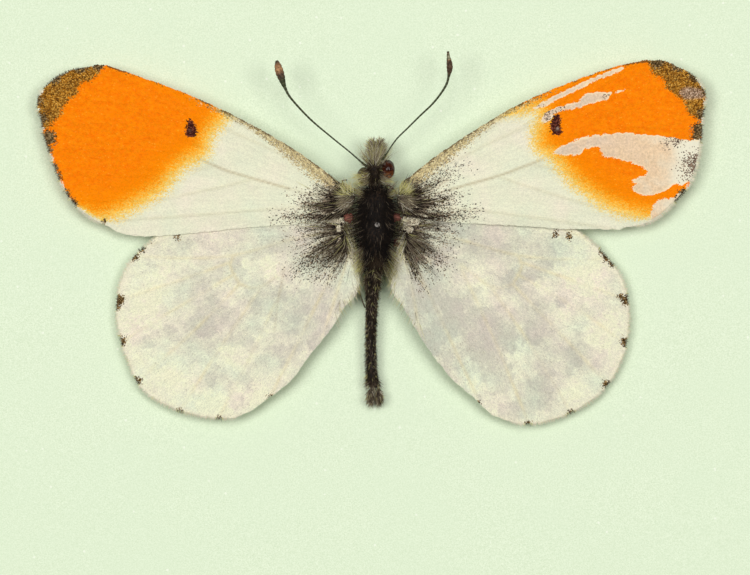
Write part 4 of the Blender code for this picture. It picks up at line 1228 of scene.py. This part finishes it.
def fringe_is_pale(name, places):
    """1 where a margin's fringe is cream, 0 where it is brown: at the marks, and round most of the tip."""
    plain = 1 - ease(bumps(places, MARKS[name]), 0.25, 0.5)
    if name.endswith("hindwing"):
        return plain
    beyond_tip = ease(-depth_in(places, TIP[name.split("_")[0]]), -0.1, 0.1)
    return np.maximum(plain * beyond_tip, ease(bumps(places, PALE_TIP_FRINGE[name]), 0.3, 0.6))


def wing_fields(name, places):
    """What a wing's mesh needs to know at each place: its relief, its pattern, and how its scales lie."""
    side, kind = name.split("_")
    outline = OUTLINES[name]
    from_leading = nearest_on(places, smooth_line(outline[:LEADING[name]], 5))[0]
    from_margin = nearest_on(places, smooth_line(outline[slice(*FRINGED[name])], 5))[0]
    veins = from_lines(places, VEINS[name])
    outwards = places - np.array(ROOTS[name])
    reach = np.linalg.norm(outwards, axis=1)
    nothing = np.zeros(len(places))
    clear = streaks(places, [(line, width, 1.0, 1.0) for line, width in CLEAR[name]])
    dust = streaks(places, DUSTING[name]) + 0.75 * ease(-reach, -2.3, -1.1)
    fields = {
        "rim": nearest_on(places, smooth_line(outline, 6, closed=True), closed=True)[0],
        "veins": veins,
        "leading": from_leading,
        "lie": ways(*(outwards / reach[:, None]).T),
        "vein_line": peak(veins, 0.1),
        "brown_vein": peak(from_lines(places, BROWN_VEINS[name]), 0.06),
        "mark": ease(bumps(places, MARKS[name]), 0.08, 0.62),
        "yellow_rim": peak(from_margin, 0.3),
        "rust": bumps(places, RUST[name]),
        "fan": ways(FAN_RAYS * np.arctan2(outwards[:, 1], np.abs(outwards[:, 0])), 0.25 * reach),
        "clear": clear,
        "dust": dust * (1 - 0.88 * ease(clear, 0.25, 0.6)),
        "bare": nothing - 1.0,
    }
    if kind == "hindwing":
        warped = places + 0.12 * np.stack([swells(places, 0.6, 13), swells(places, 0.6, 14)], axis=1)
        middles = patches(warped, 0.62, 15)
        pale, dark = (bumps(middles, [(x, y, r * 1.25) for x, y, r in spots[name]])
                      for spots in (PALE_MARBLING, DARK_MARBLING))
        random = 0.22 * swells(middles, 1.7, 16) + 0.17 * swells(middles, 0.19, 17)
        random += 0.16 * swells(places, 6.0, 18)
        depth, paler = (0.65, 0.26) if side == "left" else (0.9, 0.02)
        inwards = 0.55 * ease(from_margin, 0.3, 6.5) - paler
        fields["marbling"] = 0.75 * depth * dark - 0.8 * pale + random + inwards
        return fields

    strip = 0.3 + 0.55 * ease(-reach, -9.5, -2.5)
    inner = ease(-reach, -13.5, -9.5)
    dark_run = ease(-np.abs(np.abs(places[:, 0]) - 17.2), -0.9, -0.6)
    dashed = ease(swells(places, 1.1, 4), -0.6, 0.1) * (0.45 + 0.55 * inner)
    fields.update({
        "orange": depth_in(places, ORANGE[side]),
        "tip": depth_in(places, TIP[side]),
        "spot": depth_in(places, CELL_SPOT[side]),
        "pupil": bumps(places, [SPOT_PUPIL[side]]),
        "costal": ease(-from_leading, -strip * 1.5, -strip * 0.5) * inner,
        "edge_line": peak(from_leading, 0.08) * np.maximum(dark_run * 1.5, dashed),
        "pale_fringe": peak(from_margin, 0.15) * fringe_is_pale(name, places),
        "outwards": (np.abs(places[:, 0]) - 15.0) / 12.0,
        **dict.fromkeys(("lilac", "crumbs", "white_end"), nothing),
    })
    if side == "right":
        torn = 0.05 * swells(places, 0.5, 8) + 0.04 * swells(places, 0.28, 9)
        fields.update({
            "bare": np.max([depth_in(places, patch, 3) for patch in RUBBED], axis=0) + torn,
            "lilac": ease(depth_in(places, RUBBED_TIP), -0.1, 0.1) * 0.8,
            "crumbs": bumps(places, RUBBED_DUST),
            "white_end": ease(places[:, 0] + 0.35 * swells(places, 1.5, 7), 18.6, 20.6) * 0.8,
        })
    return fields


def wing_height(name, places, fields):
    """The height of a wing's middle surface over the paper, with its veins, pleats and slow waves."""
    height = wing_slope(name, places)
    height += VEIN_RIDGE * peak(fields["veins"], VEIN_WIDTH) * ease(fields["rim"], 0.0, 0.5)
    height += COSTA_RIDGE * peak(fields["leading"] - 0.12, COSTA_WIDTH)
    height -= 0.05 * ease(fields["veins"], 0.0, 1.1)
    height += 0.07 * swells(places, 8.0, 11) + 0.012 * swells(places, 1.6, 12)
    if name.endswith("hindwing"):
        return height + 0.24 * ease(places[:, 1], 2.0, 3.6)
    return height - 0.12 * ease(-places[:, 1], -5.2, -4.0)


def build_wing(name):
    """One wing: its membrane, the coat of scales on it, the fringe along its margin and its root's hair."""
    side, kind = name.split("_")
    slot = f"{kind}_scales"
    rim = evenly(smooth_line(OUTLINES[name], 8, closed=True), MEMBRANE_STEP, closed=True)
    margin = smooth_line(OUTLINES[name][slice(*FRINGED[name])], 6)
    inset = MARGIN_INSET * peak(nearest_on(rim, margin)[0], 0.3) + 0.02 + 0.02 * swells(rim, 0.7, 21)
    inward = left_of(np.roll(rim, -1, axis=0) - np.roll(rim, 1, axis=0)) * np.sign(turning(rim))
    plan, faces, level, slots = sheet(rim + inward * inset[:, None], MEMBRANE_STEP, UNDERSIDE_STEP)
    fields = wing_fields(name, plan)
    thin = 0.3 + 0.7 * ease(fields["rim"], 0.1, 0.4)
    height = PAPER_TOP + wing_height(name, plan, fields) + level * MEMBRANE_HALF * thin
    membrane = new_mesh(f"{name}_membrane", ways(*plan.T, height), faces)
    membrane.polygons.foreach_set("material_index", slots)
    upper = (level > 0).astype(float)
    add_fields(membrane, {**fields, "scaly": upper})

    coat = grown("scales", membrane.copy(), f"{kind}_coat", {
        "Apart": SCALE_APART * MM, "Length": SCALE_LENGTH * MM, "Width": SCALE_WIDTH * MM, "Tilt": 0.1,
        "Disorder": 0.13, "Seed": SCALE_SEED})
    add_piece(f"{name}_membrane", membrane, f"{kind}_membrane {kind}_underside", slot, f"{kind}_{side}")
    add_piece(f"{name}_scales", coat, f"{kind}_coat", slot, smooth=False)
    add_fringe(name, margin, slot)
    add_root_hair(name, membrane, upper)


def add_hair(name, emitter, slot, density, thickness, **values):
    """Grows hair, that many to a square millimetre, as a piece on a mesh that has the hair's fields."""
    values = {"Joints": 5, "Taper": 0.85, "Tone_Spread": 0.11, "Seed": COAT_SEED, **values}
    settings = {key.replace("_", " "): value for key, value in values.items()}
    settings.update({"Density": density / MM ** 2, "Thickness": thickness * MM})
    add_piece(name, grown("hair", emitter, "hair", settings), "hair", slot)


def add_fringe(name, margin, slot):
    """The short hair-scales that stand out along a wing's outer margin, dark at the marks."""
    line = evenly(margin, FRINGE_STEP)
    count = len(line)
    outward = -left_of(np.gradient(line, axis=0))
    outward *= np.sign(np.sum(outward * (line - np.mean(OUTLINES[name], axis=0)), axis=1))[:, None]
    plan = np.vstack([line - outward * inset for inset in FRINGE_BAND])
    height = wing_height(name, plan, wing_fields(name, plan))
    strip = new_mesh("strip", ways(*plan.T, PAPER_TOP + height),
                     [(i, i + 1, count + i + 1, count + i) for i in range(count - 1)])
    cream = fringe_is_pale(name, plan)
    ends = np.minimum(np.arange(count), np.arange(count)[::-1])
    length = FRINGE_LENGTH * MM * ease(ends, -1, 12) * (0.6 + 0.4 * cream[:count])
    add_fields(strip, {
        "hair_amount": np.ones(2 * count), "hair_length": np.tile(length, 2),
        "hair_lie": ways(*np.tile(outward, (2, 1)).T),
        "hair_tone": np.where(cream > 0.5, CREAM + 0.06 - 0.05 * np.abs(swells(plan, 2.0, 3)), BROWN + 0.03)})
    add_hair(f"{name}_fringe", strip, slot, 420, 0.034, Joints=3, Lift=0.0, Spread=0.2, Droop=0.0, Taper=0.5,
             Tone_Spread=0.1, Seed=FRINGE_SEED)


def add_root_hair(name, membrane, upper):
    """Long soft hair that lies over a wing's root, and along a hindwing's inner edge."""
    side, kind = name.split("_")
    plan = points_of(membrane)[:, :2] / MM
    fields = wing_fields(name, plan)
    reach = np.linalg.norm(plan - np.array(ROOTS[name]), axis=1)
    shag = 0.7 if kind == "hindwing" else 0.45
    amount = np.clip(fields["dust"] * 1.1 - 0.15, 0, 1) * ease(-reach, -3.8, -0.8)
    amount = amount * (1 - fields["clear"]) * shag
    tone = GREY - 0.14 + 0.16 * swells(plan, 0.35, 31)
    length = shag + 0.5 * ease(reach, 0.5, 2.5)
    lie = fields["lie"]
    if kind == "hindwing":
        fold = smooth_line(OUTLINES[name][-6:] + OUTLINES[name][:1], 6)
        near_fold = peak(nearest_on(plan, fold)[0], 0.28) * ease(plan[:, 1], -3.0, 0.2)
        amount = np.maximum(amount, near_fold * 0.5)
        in_fold = near_fold > 0.03
        tone = np.where(in_fold, CREAM - 0.13 + 0.06 * swells(plan, 0.7, 32), tone)
        length = np.where(in_fold, 0.6, length)
        lie = np.where(in_fold[:, None], (-0.45 if side == "right" else 0.45, -1.0, 0.0), lie)
    emitter = membrane.copy()
    add_fields(emitter, {"hair_amount": amount * upper, "hair_length": length * MM, "hair_lie": lie,
                         "hair_tone": tone})
    add_hair(f"{name}_root_hair", emitter, "body_hair", 210, 0.026, Lift=0.12, Spread=0.16, Droop=0.05,
             Tone_Spread=0.3, Seed=ROOT_HAIR_SEED)


# ---- the body ----

def loft(name, stations, core, ring_step, sides, swell):
    """A closed body through elliptical stations with rounded ends. core is the share of each station's
    width and depth that it takes up, and swell(turn, y) scales each radius."""
    rows = evenly(smooth_line(stations, 10), ring_step) * np.array([1, 1, 1, *core])
    turns = np.linspace(0, math.tau, sides, endpoint=False)
    roundings, bulge = np.radians([80, 62, 42, 20]), 0.32
    ends = (rows[0], bulge, roundings), (rows[-1], -bulge, roundings[::-1])
    front, back = ([(x, y + out * w * math.sin(a), h, w * math.cos(a), d * math.cos(a)) for a in angles]
                   for (x, y, h, w, d), out, angles in ends)
    places = []
    for x, y, h, w, d in [*front, *rows, *back]:
        scale = np.array([swell(turn, y) for turn in turns])
        places.append(ways(x + w * scale * np.cos(turns), y, PAPER_TOP + h + d * scale * np.sin(turns)))
    return new_mesh(name, np.vstack(places), capped(len(places), sides))


def rounded_lobe(name, centre, radii, roughness, sides=28, rows=18):
    """A closed lobe: an ellipsoid with a wrinkled skin, its poles front and back."""
    places = [(centre[0], centre[1] + radii[1], centre[2])]
    for row, i in itertools.product(range(1, rows), range(sides)):
        polar, turn = math.pi * row / rows, math.tau * i / sides
        way = Vector((math.sin(polar) * math.cos(turn), math.cos(polar), math.sin(polar) * math.sin(turn)))
        size = 1 + roughness * noise.noise(way * 2.2 + Vector(centre))
        places.append(tuple(c + r * size * w for c, r, w in zip(centre, radii, way)))
    places.append((centre[0], centre[1] - radii[1], centre[2]))
    return new_mesh(name, places, pointed(rows - 1, sides))


def wrinkles(turn, y, fineness):
    """Smooth noise round a body, about -1 to 1."""
    return noise.noise((math.cos(turn) * fineness, y * fineness, math.sin(turn) * fineness))


def coat_of_hair(name, mesh, slot, amount, length, lie, tone, density, thickness, **values):
    """Grows hair on a copy of a mesh. The four fields are functions of (places, normals), in millimetres."""
    places, normals = points_of(mesh) / MM, points_of(mesh, "normal")
    emitter = mesh.copy()
    add_fields(emitter, {"hair_amount": amount(places, normals), "hair_length": length(places, normals) * MM,
                         "hair_lie": lie(places, normals), "hair_tone": tone(places, normals)})
    add_hair(name, emitter, slot, density, thickness, **values)


def facing_up(low, high):
    """Hair where a surface looks up, from none at that low slant to all at that high one."""
    return lambda places, normals: ease(normals[:, 2], low, high)


def everywhere(value):
    """The same number, or the same vector, all over."""
    return lambda places, normals: np.full((len(places), *np.shape(value)), value)


def build_thorax():
    def swell(turn, y):
        furrow = 0.05 * math.exp(-((turn - math.pi / 2) / 0.12) ** 2) * (y > 3.0)
        waist = 0.06 * math.exp(-((y - 2.75) / 0.14) ** 2)
        return 1 - furrow - waist + 0.015 * noise.noise((math.cos(turn) * 3, y * 2.5, math.sin(turn) * 3))

    def off_middle(places):
        return np.abs(places[:, 0] - BODY_X)

    def waisted(places):
        return ease(-places[:, 1], -3.1, -2.4)

    def lie(places, normals):
        side = np.clip((places[:, 0] - BODY_X) / 0.5, -1, 1)
        flank, front = ease(off_middle(places), 0.6, 1.1), ease(places[:, 1], 5.6, 6.2)
        waist = waisted(places)
        outwards = side * (0.25 + 0.9 * flank + 0.35 * waist)
        return ways(outwards, -0.85 + 0.6 * flank + 0.95 * front - 0.35 * waist, 0.05 - 0.2 * flank)

    def tone(places, normals):
        flank, waist = ease(off_middle(places), 0.95, 1.15), waisted(places)
        base = BLACK - 0.03 + 0.26 * flank * (1 - waist) + 0.07 * swells(places[:, :2], 0.3, 41)
        collar = ease(places[:, 1], 5.75, 6.1) * ease(off_middle(places), 0.6, 0.85)
        olive = np.maximum(collar, waist * ease(np.abs(normals[:, 0]), 0.7, 0.97))
        grey_tuft = bumps(places, [(0.1, 1.75, 0.42)])
        return base + (OLIVE + 0.02 - base) * olive + 0.3 * grey_tuft

    def length(places, normals):
        flank, waist = ease(off_middle(places), 0.8, 1.1), waisted(places)
        collar = ease(places[:, 1], 5.75, 6.1) * ease(off_middle(places), 0.5, 0.8)
        tuft = np.where(places[:, 0] > BODY_X, 0.75, 0.5) * waist * ease(np.abs(normals[:, 0]), 0.4, 0.8)
        return 0.32 + 0.6 * flank * (1 - waist) + 0.5 * collar + tuft

    def amount(places, normals):
        from_plate = np.hypot(places[:, 0] - PIN_X, 0.8 * (places[:, 1] - PIN_Y + 0.45))
        shown = ease(normals[:, 2], -0.5, 0.25) * (0.3 + 0.7 * ease(from_plate, 0.35, 0.75))
        flank = ease(off_middle(places), 0.8, 1.1) * (1 - waisted(places))
        knobs = bumps(places, [(x, y, 0.42) for x, y, _ in HINGES.values()])
        return shown * (1 - 0.45 * flank) * (1 - 0.9 * knobs)

    thorax = loft("thorax_shell", THORAX_STATIONS, THORAX_CORE, 0.11, 56, swell)
    add_piece("thorax_shell", thorax, "body", "body_hair", "thorax")
    coat_of_hair("thorax_hair", thorax, "body_hair", amount, length, lie, tone, 230, 0.022,
                 Lift=0.3, Spread=0.36, Droop=0.3, Pale_Share=0.06, Tone_Spread=0.08)
    for wing, (x, y, height) in HINGES.items():
        knob = rounded_lobe(f"{wing}_hinge", (x, y, PAPER_TOP + height), HINGE_RADII, 0.6)
        add_piece(f"{wing}_hinge", knob, "hinge", "body_hair")


def build_head():
    def front(places):
        return ease(places[:, 1], 7.75, 8.15)

    def cheek(places):
        """1 over the left eye, the right one's lower end and behind both: long yellow-green hair."""
        left = ease(HEAD_X - places[:, 0], 0.2, 0.36) * ease(-places[:, 1], -7.85, -7.5)
        left += 0.6 * ease(places[:, 0] - HEAD_X, 0.24, 0.38) * ease(-places[:, 1], -7.75, -7.45)
        behind = ease(np.abs(places[:, 0] - HEAD_X), 0.34, 0.46) * ease(-places[:, 1], -7.5, -7.2)
        return np.maximum(left, behind)

    def amount(places, normals):
        return ease(normals[:, 2], -0.6, 0.2) * (0.6 + 0.4 * cheek(places))

    def length(places, normals):
        return 0.3 + 0.75 * front(places) + 0.6 * cheek(places)

    def lie(places, normals):
        side = np.clip((places[:, 0] - HEAD_X) / 0.4, -1, 1)
        return ways(side * (0.4 + 0.2 * front(places) + 0.8 * cheek(places)),
                    -0.55 + 1.6 * front(places) + 0.3 * cheek(places), 0.1 + 0.3 * cheek(places))

    def tone(places, normals):
        ripple = 0.12 * swells(places[:, :2] + 3, 0.22, 51)
        return BLACK + 0.1 + 0.45 * front(places) + (OLIVE - 0.12) * cheek(places) + ripple

    head = loft("head_shell", HEAD_STATIONS, HEAD_CORE, 0.07, 40,
                lambda turn, y: 1 + 0.03 * wrinkles(turn, y, 4))
    add_piece("head_shell", head, "body", "body_hair", "head")
    coat_of_hair("head_hair", head, "body_hair", amount, length, lie, tone, 420, 0.024,
                 Lift=0.35, Spread=0.36, Droop=0.15, Pale_Share=0.1)
    for side, place in EYE_PLACES.items():
        centre = Vector((*place, PAPER_TOP + HEAD_HEIGHT))
        eye = grown("eye", new_mesh("eye_seed", [centre], []), "eye", {
            "Radii": [radius * MM for radius in EYE_RADII], "Centre": list(centre * MM), "Lens Rise": 0.012})
        add_piece(f"{side}_eye", eye, "eye", "eye", f"eye_{side}", smooth=False)


def build_abdomen():
    def swell(turn, y):
        share = (1.3 - y) / ABDOMEN_SEGMENT % 1.0
        telescoped = 0.05 * share ** 2 - 0.05 * math.exp(-(share / 0.1) ** 2)
        flank = abs(math.cos(turn))
        fold = 0.06 * math.exp(-((abs(math.sin(turn)) - 0.25) / 0.12) ** 2) * flank
        return 1 + telescoped - fold + 0.02 * wrinkles(turn, y, 3)

    def length(places, normals):
        return 0.2 + 0.2 * ease(-places[:, 1], 5.6, 6.4) + 0.2 * ease(places[:, 1], -0.5, 0.8)

    def lie(places, normals):
        sideways = np.clip(normals[:, 0], -1, 1)
        left = ease(-normals[:, 0], 0.2, 0.8) * ease(-places[:, 1], 2.0, 4.0)
        return ways(sideways * (0.25 + 0.6 * left), -1.0 + 0.1 * sideways)

    def tone(places, normals):
        top, tip = ease(normals[:, 2], 0.3, 0.9), ease(-places[:, 1], 5.8, 6.5)
        return BROWN - 0.14 + 0.06 * (1 - top) + 0.15 * swells(places[:, :2], 0.35, 61) + 0.24 * tip

    def clasper_tone(places, normals):
        return BROWN + 0.14 + 0.12 * swells(places[:, :2], 0.3, 62)

    abdomen = loft("abdomen_shell", ABDOMEN_STATIONS, ABDOMEN_CORE, 0.07, 40, swell)
    add_piece("abdomen_shell", abdomen, "body", "abdomen_scales", "abdomen")
    coat_of_hair("abdomen_hair", abdomen, "abdomen_scales", facing_up(-0.8, 0.0), length, lie, tone,
                 190, 0.03, Lift=0.35, Spread=0.55, Droop=0.05, Joints=3, Pale_Share=0.2, Tone_Spread=0.16)
    for side, sign in SIDES:
        centre = (-0.01 + sign * 0.26, -7.18, PAPER_TOP + 0.68)
        clasper = rounded_lobe(f"{side}_clasper", centre, CLASPER_RADII, 0.12)
        add_piece(f"{side}_clasper", clasper, "body", "abdomen_scales", f"clasper_{side}")
        coat_of_hair(f"{side}_clasper_hair", clasper, "abdomen_scales", facing_up(-0.7, 0.1), everywhere(0.3),
                     everywhere((sign * 0.15, -1.0, 0.0)), clasper_tone, 330, 0.032,
                     Lift=0.3, Spread=0.55, Droop=0.1, Joints=3, Pale_Share=0.15, Tone_Spread=0.18)


def build_tegulae():
    """The flaps over the forewings' roots, under long olive hair."""
    for side, sign in SIDES:
        def lie(places, normals, sign=sign):
            front = ease(places[:, 1], 5.75, 6.3)
            return ways(sign * (1.0 - 0.55 * front), -0.5 + 1.3 * front, -0.2)

        def tone(places, normals):
            front = ease(places[:, 1], 5.85, 6.25)
            return GREY + 0.03 + front * (OLIVE - GREY + 0.05) + 0.08 * swells(places[:, :2], 0.3, 71)

        centre = (BODY_X + sign * 1.78, 5.95, PAPER_TOP + 2.78)
        flap = rounded_lobe(f"{side}_tegula", centre, TEGULA_RADII, 0.1)
        add_piece(f"{side}_tegula", flap, "body", "body_hair", f"tegula_{side}")
        coat_of_hair(f"{side}_tegula_hair", flap, "body_hair", facing_up(-0.5, 0.3), everywhere(0.6),
                     lie, tone, 330, 0.028, Lift=0.15, Spread=0.6, Droop=0.2, Pale_Share=0.1)


def add_limb(name, look, slot, node, points, step, spacing, depth, sides=12, flat=1.0, tint=((0, 0),)):
    """A ringed limb along points, its rings that far apart and that deep. An antenna's club is flat times
    as deep as wide, and coloured by tint."""
    line = evenly(smooth_line(points, 10), step)
    count = len(line)
    spine = new_mesh("limb_line", line[:, :3] + (0, 0, PAPER_TOP), [], [(i, i + 1) for i in range(count - 1)])
    run = np.linspace(0, 1, count)
    add_fields(spine, {"limb_radius": np.maximum(line[:, 3], 0.012) * MM,
                       "flatness": 1 + (flat - 1) * ease(run, CLUB_START, CLUB_FULL),
                       "club": np.interp(run, *zip(*tint))})
    limb = grown("limb", spine, look, {"Ring Spacing": spacing * MM, "Ring Depth": depth, "Sides": sides})
    add_piece(name, limb, look, slot, node)
    return limb


def mirrored(points):
    return [(2 * BODY_X - x, *rest) for x, *rest in points]


def build_antennae():
    for side, _ in SIDES:
        add_limb(f"{side}_antenna", "antenna", "antenna_horn", f"antenna_{side}", ANTENNA[side], 0.035,
                 0.27, 0.16, 14, CLUB_FLATNESS[side], CLUB_TINT[side])


def build_palps():
    """The two palps, and the tuft of long hair on them that stands out before the head."""
    for side, sign in SIDES:
        def length(places, normals):
            return 0.62 - 0.28 * ease(places[:, 1], 9.0, 9.6)

        def lie(places, normals, sign=sign):
            return ways(0.4 * sign + 0.42 * normals[:, 0], 1.0, 0.15 + 0.2 * normals[:, 2])

        def tone(places, normals, sign=sign):
            return GREY + (0.08 if sign < 0 else 0.05) + 0.12 * swells(places[:, :2] * 2, 0.16, 81)

        points = PALP if sign > 0 else mirrored(PALP)
        palp = add_limb(f"{side}_palp", "leg", "body_hair", f"palp_{side}", points, 0.03, 0.4, 0.1)
        coat_of_hair(f"{side}_palp_hair", palp, "body_hair", everywhere(1.0), length, lie, tone, 430, 0.034,
                     Lift=0.35, Spread=0.22, Droop=0.0, Pale_Share=0.22, Tone_Spread=0.24)


def build_legs():
    legs = {"foreleg": FORELEG, "midleg": {"left": mirrored(MIDLEG), "right": MIDLEG}, "hindleg": HINDLEG}
    for kind, pair in legs.items():
        for side, points in pair.items():
            add_limb(f"{side}_{kind}", "leg", "leg_horn", f"{kind}_{side}", points, 0.04, 0.33, 0.14)


def build_proboscis():
    turns, outer, pitch, count = 1.6, 0.32, 0.15, 40
    points = []
    for share in np.arange(count) / (count - 1):
        angle = math.radians(80) - share * turns * math.tau
        reach = outer - pitch * turns * share
        points.append((BODY_X, 8.0 + reach * math.cos(angle), 0.78 + reach * math.sin(angle),
                       PROBOSCIS_RADIUS))
    add_limb("coiled_tongue", "leg", "antenna_horn", "proboscis", points, 0.02, 0.06, 0.2)


# ---- the pin and the board ----

def build_pin():
    """The headless steel pin: a ground point in the foam, a plain shank and a cut, slightly burred end."""
    r, low, high, sides = PIN_RADIUS, PIN_LOW.z, PIN_HIGH.z, 32
    rings = [(0.12 * r, low + 0.06), (0.55 * r, low + 0.5), (0.9 * r, low + 1.1), (r, low + 1.5)]
    rings += [(r, low + 1.5 + share * (high - low - 1.6)) for share in np.linspace(0.02, 1, 30)]
    rings += [(1.03 * r, high - 0.06), (0.99 * r, high - 0.025), (0.88 * r, high), (0.7 * r, high - 0.012),
              (0.35 * r, high - 0.02)]
    places = [(PIN_X, PIN_Y, low)]
    for (radius, height), i in itertools.product(rings, range(sides)):
        turn = math.tau * i / sides
        places.append((PIN_X + radius * math.cos(turn), PIN_Y + radius * math.sin(turn), height))
    places.append((PIN_X, PIN_Y, high - 0.022))
    pin = new_mesh("steel_pin", places, pointed(len(rings), sides))
    add_piece("steel_pin", pin, "steel", "pin_steel", "pin")


def board_rim(step):
    """The board's outline, with its small rounded corners."""
    corners = []
    for quarter, (sx, sy) in enumerate(((1, 1), (-1, 1), (-1, -1), (1, -1))):
        for turn in np.radians(90 * quarter + 15 * np.arange(7)):
            corners.append((sx * (FOAM_HIGH.x - BOARD_CORNER) + BOARD_CORNER * math.cos(turn),
                            sy * (FOAM_HIGH.y - BOARD_CORNER) + BOARD_CORNER * math.sin(turn)))
    return evenly(np.array(corners), step, closed=True)


def build_foam():
    """The foam block up to the paper, its cut sides open with small cells."""
    rim = board_rim(FOAM_RIM_STEP)
    inward = left_of(np.roll(rim, -1, axis=0) - np.roll(rim, 1, axis=0))
    top = PAPER_TOP - PAPER_THICKNESS
    levels = np.linspace(0, top, round(top / FOAM_LEVEL_STEP) + 1)
    places = []
    for z in levels:
        edge = min(z, top - z)
        rounding = 0.06 * max(0.0, 1 - edge / 0.2)
        for (x, y), (ix, iy) in zip(rim, inward):
            far = noise.voronoi(Vector((x, y, z)) / FOAM_CELL)[0][0]
            pore = PORE_DEPTH * max(0.0, 0.6 - far) * min(edge / 0.3, 1.0)
            places.append((x + ix * (pore + rounding), y + iy * (pore + rounding), z))
    foam = new_mesh("foam_block", places, capped(len(levels), len(rim)))
    add_piece("foam_block", foam, "foam", "foam", "foam_board", smooth=False)


def build_paper():
    """The green paper over the foam: barely wavy, with a small lip where the pin goes through."""
    rings = []
    for radius, count in ((0.14, 9), (0.2, 13), (0.28, 15), (0.4, 17), (0.6, 17)):
        turns = np.linspace(0, math.tau, count)[:-1]
        rings.append([(PIN_X + radius * math.cos(a), PIN_Y + radius * math.sin(a)) for a in turns])
    plan, faces, level, _ = sheet(board_rim(0.4), 0.55, 1.5, extra=rings)
    lip = 0.06 * peak(np.hypot(plan[:, 0] - PIN_X, plan[:, 1] - PIN_Y) - 0.2, 0.1)
    worn = 0.03 * peak(np.minimum(FOAM_HIGH.x - np.abs(plan[:, 0]), FOAM_HIGH.y - np.abs(plan[:, 1])), 0.25)
    wavy = 0.008 * (swells(plan, 9.0, 91) - 1)
    height = np.where(level > 0, PAPER_TOP + lip + wavy - worn, PAPER_TOP - PAPER_THICKNESS)
    paper = new_mesh("mounting_paper", ways(*plan.T, height), faces)
    add_piece("mounting_paper", paper, "paper", "green_paper", "paper_facing")


# ---- light, floor and camera ----

CAMERA_REACH = 300.0               # from the camera to the wings
VIEW_WIDTH = 49.5                  # what the picture is wide, at the wings
SENSOR = 36.0
WING_PLANE = 1.3                   # how high over the paper the picture's width is measured
FLOOR_HALF, FLOOR_HEIGHT = 2.0, -2e-5  # metres
ROOM_LIGHT = 0.06                  # of a white surface's light, from all round
# The three softboxes: (place, width, share of a white surface's light, were the lamp small), in metres
SOFTBOXES = {"left_softbox": ((-0.46, 0.06, 0.94), 0.5, 0.49),
             "right_softbox": ((0.45, 0.06, 0.94), 0.46, 0.375),
             "head_softbox": ((0.0, 0.32, 0.96), 0.4, 0.3)}


def placed(name, data, place=(0.0, 0.0, 0.0)):
    """An object in the scene that isn't a piece: the floor, a lamp or the camera."""
    thing = bpy.data.objects.new(name, data)
    thing.location = place
    bpy.context.scene.collection.objects.link(thing)
    return thing


def set_stage():
    floor = bpy.data.meshes.new("studio_floor")
    quarters = (-1, -1), (1, -1), (1, 1), (-1, 1)
    places = [(x * FLOOR_HALF, y * FLOOR_HALF, FLOOR_HEIGHT) for x, y in quarters]
    floor.from_pydata(places, [], [(0, 1, 2, 3)])
    floor.materials.append(looks["floor"])
    stage = placed("studio_floor", floor)
    stage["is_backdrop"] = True

    world = bpy.data.worlds.new("room_light")
    world.use_nodes = True
    background = world.node_tree.nodes["Background"].inputs
    background["Color"].default_value = (1.0, 1.0, 1.0, 1.0)
    background["Strength"].default_value = ROOM_LIGHT
    bpy.context.scene.world = world

    for name, (place, width, share) in SOFTBOXES.items():
        lamp = bpy.data.lights.new(name, "AREA")
        lamp.shape = "DISK"
        lamp.size = width
        lamp.energy = math.pi ** 2 * Vector(place).length_squared * share
        softbox = placed(name, lamp, place)
        softbox.rotation_euler = Vector(place).to_track_quat("Z", "Y").to_euler()
        softbox.visible_camera = False

    lens = bpy.data.cameras.new("camera")
    lens.sensor_width = SENSOR
    lens.lens = SENSOR * CAMERA_REACH / VIEW_WIDTH
    lens.clip_start = 0.01
    lens.clip_end = 20.0
    height = (PAPER_TOP + WING_PLANE + CAMERA_REACH) * MM
    bpy.context.scene.camera = placed("camera", lens, (0.0, 0.0, height))
    bpy.context.scene.view_settings.view_transform = "Standard"


# ---- everything together ----

trees = {"hair": hair_tree(), "scales": scale_tree(), "limb": limb_tree(), "eye": eye_tree()}
dusted = dust_group()
cuticle = cuticle_group()
forewing_colours = forewing_group(dusted)
hindwing_colours = hindwing_group(dusted)
looks = {
    "forewing_coat": wing_coat_look("forewing_scales", forewing_colours),
    "hindwing_coat": wing_coat_look("hindwing_scales", hindwing_colours),
    "forewing_membrane": membrane_look("forewing_membrane", forewing_colours, True),
    "hindwing_membrane": membrane_look("hindwing_membrane", hindwing_colours, False),
    "forewing_underside": underside_look("forewing_underside", False),
    "hindwing_underside": underside_look("hindwing_underside", True),
    "hair": hair_look(),
    "body": body_look(cuticle),
    "antenna": horn_look("antenna_horn", cuticle, (66, 72, 44), (98, 100, 70), clubbed=True),
    "hinge": horn_look("hinge_horn", cuticle, (150, 92, 76), (70, 30, 24)),
    "leg": horn_look("leg_horn", cuticle, (104, 94, 72), (140, 130, 104)),
    "eye": eye_look(),
    "steel": steel_look(),
    "paper": paper_look(),
    "foam": foam_look(),
    "floor": floor_look(),
}

build_foam()
build_paper()
build_pin()
for wing in OUTLINES:
    build_wing(wing)
build_thorax()
build_head()
build_abdomen()
build_tegulae()
build_antennae()
build_palps()
build_legs()
build_proboscis()
set_stage()


def corners(bounds):
    return [[float(value) for value in corner] for corner in bounds]


{"cad": corners(cad_box), "visual": corners(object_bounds())}
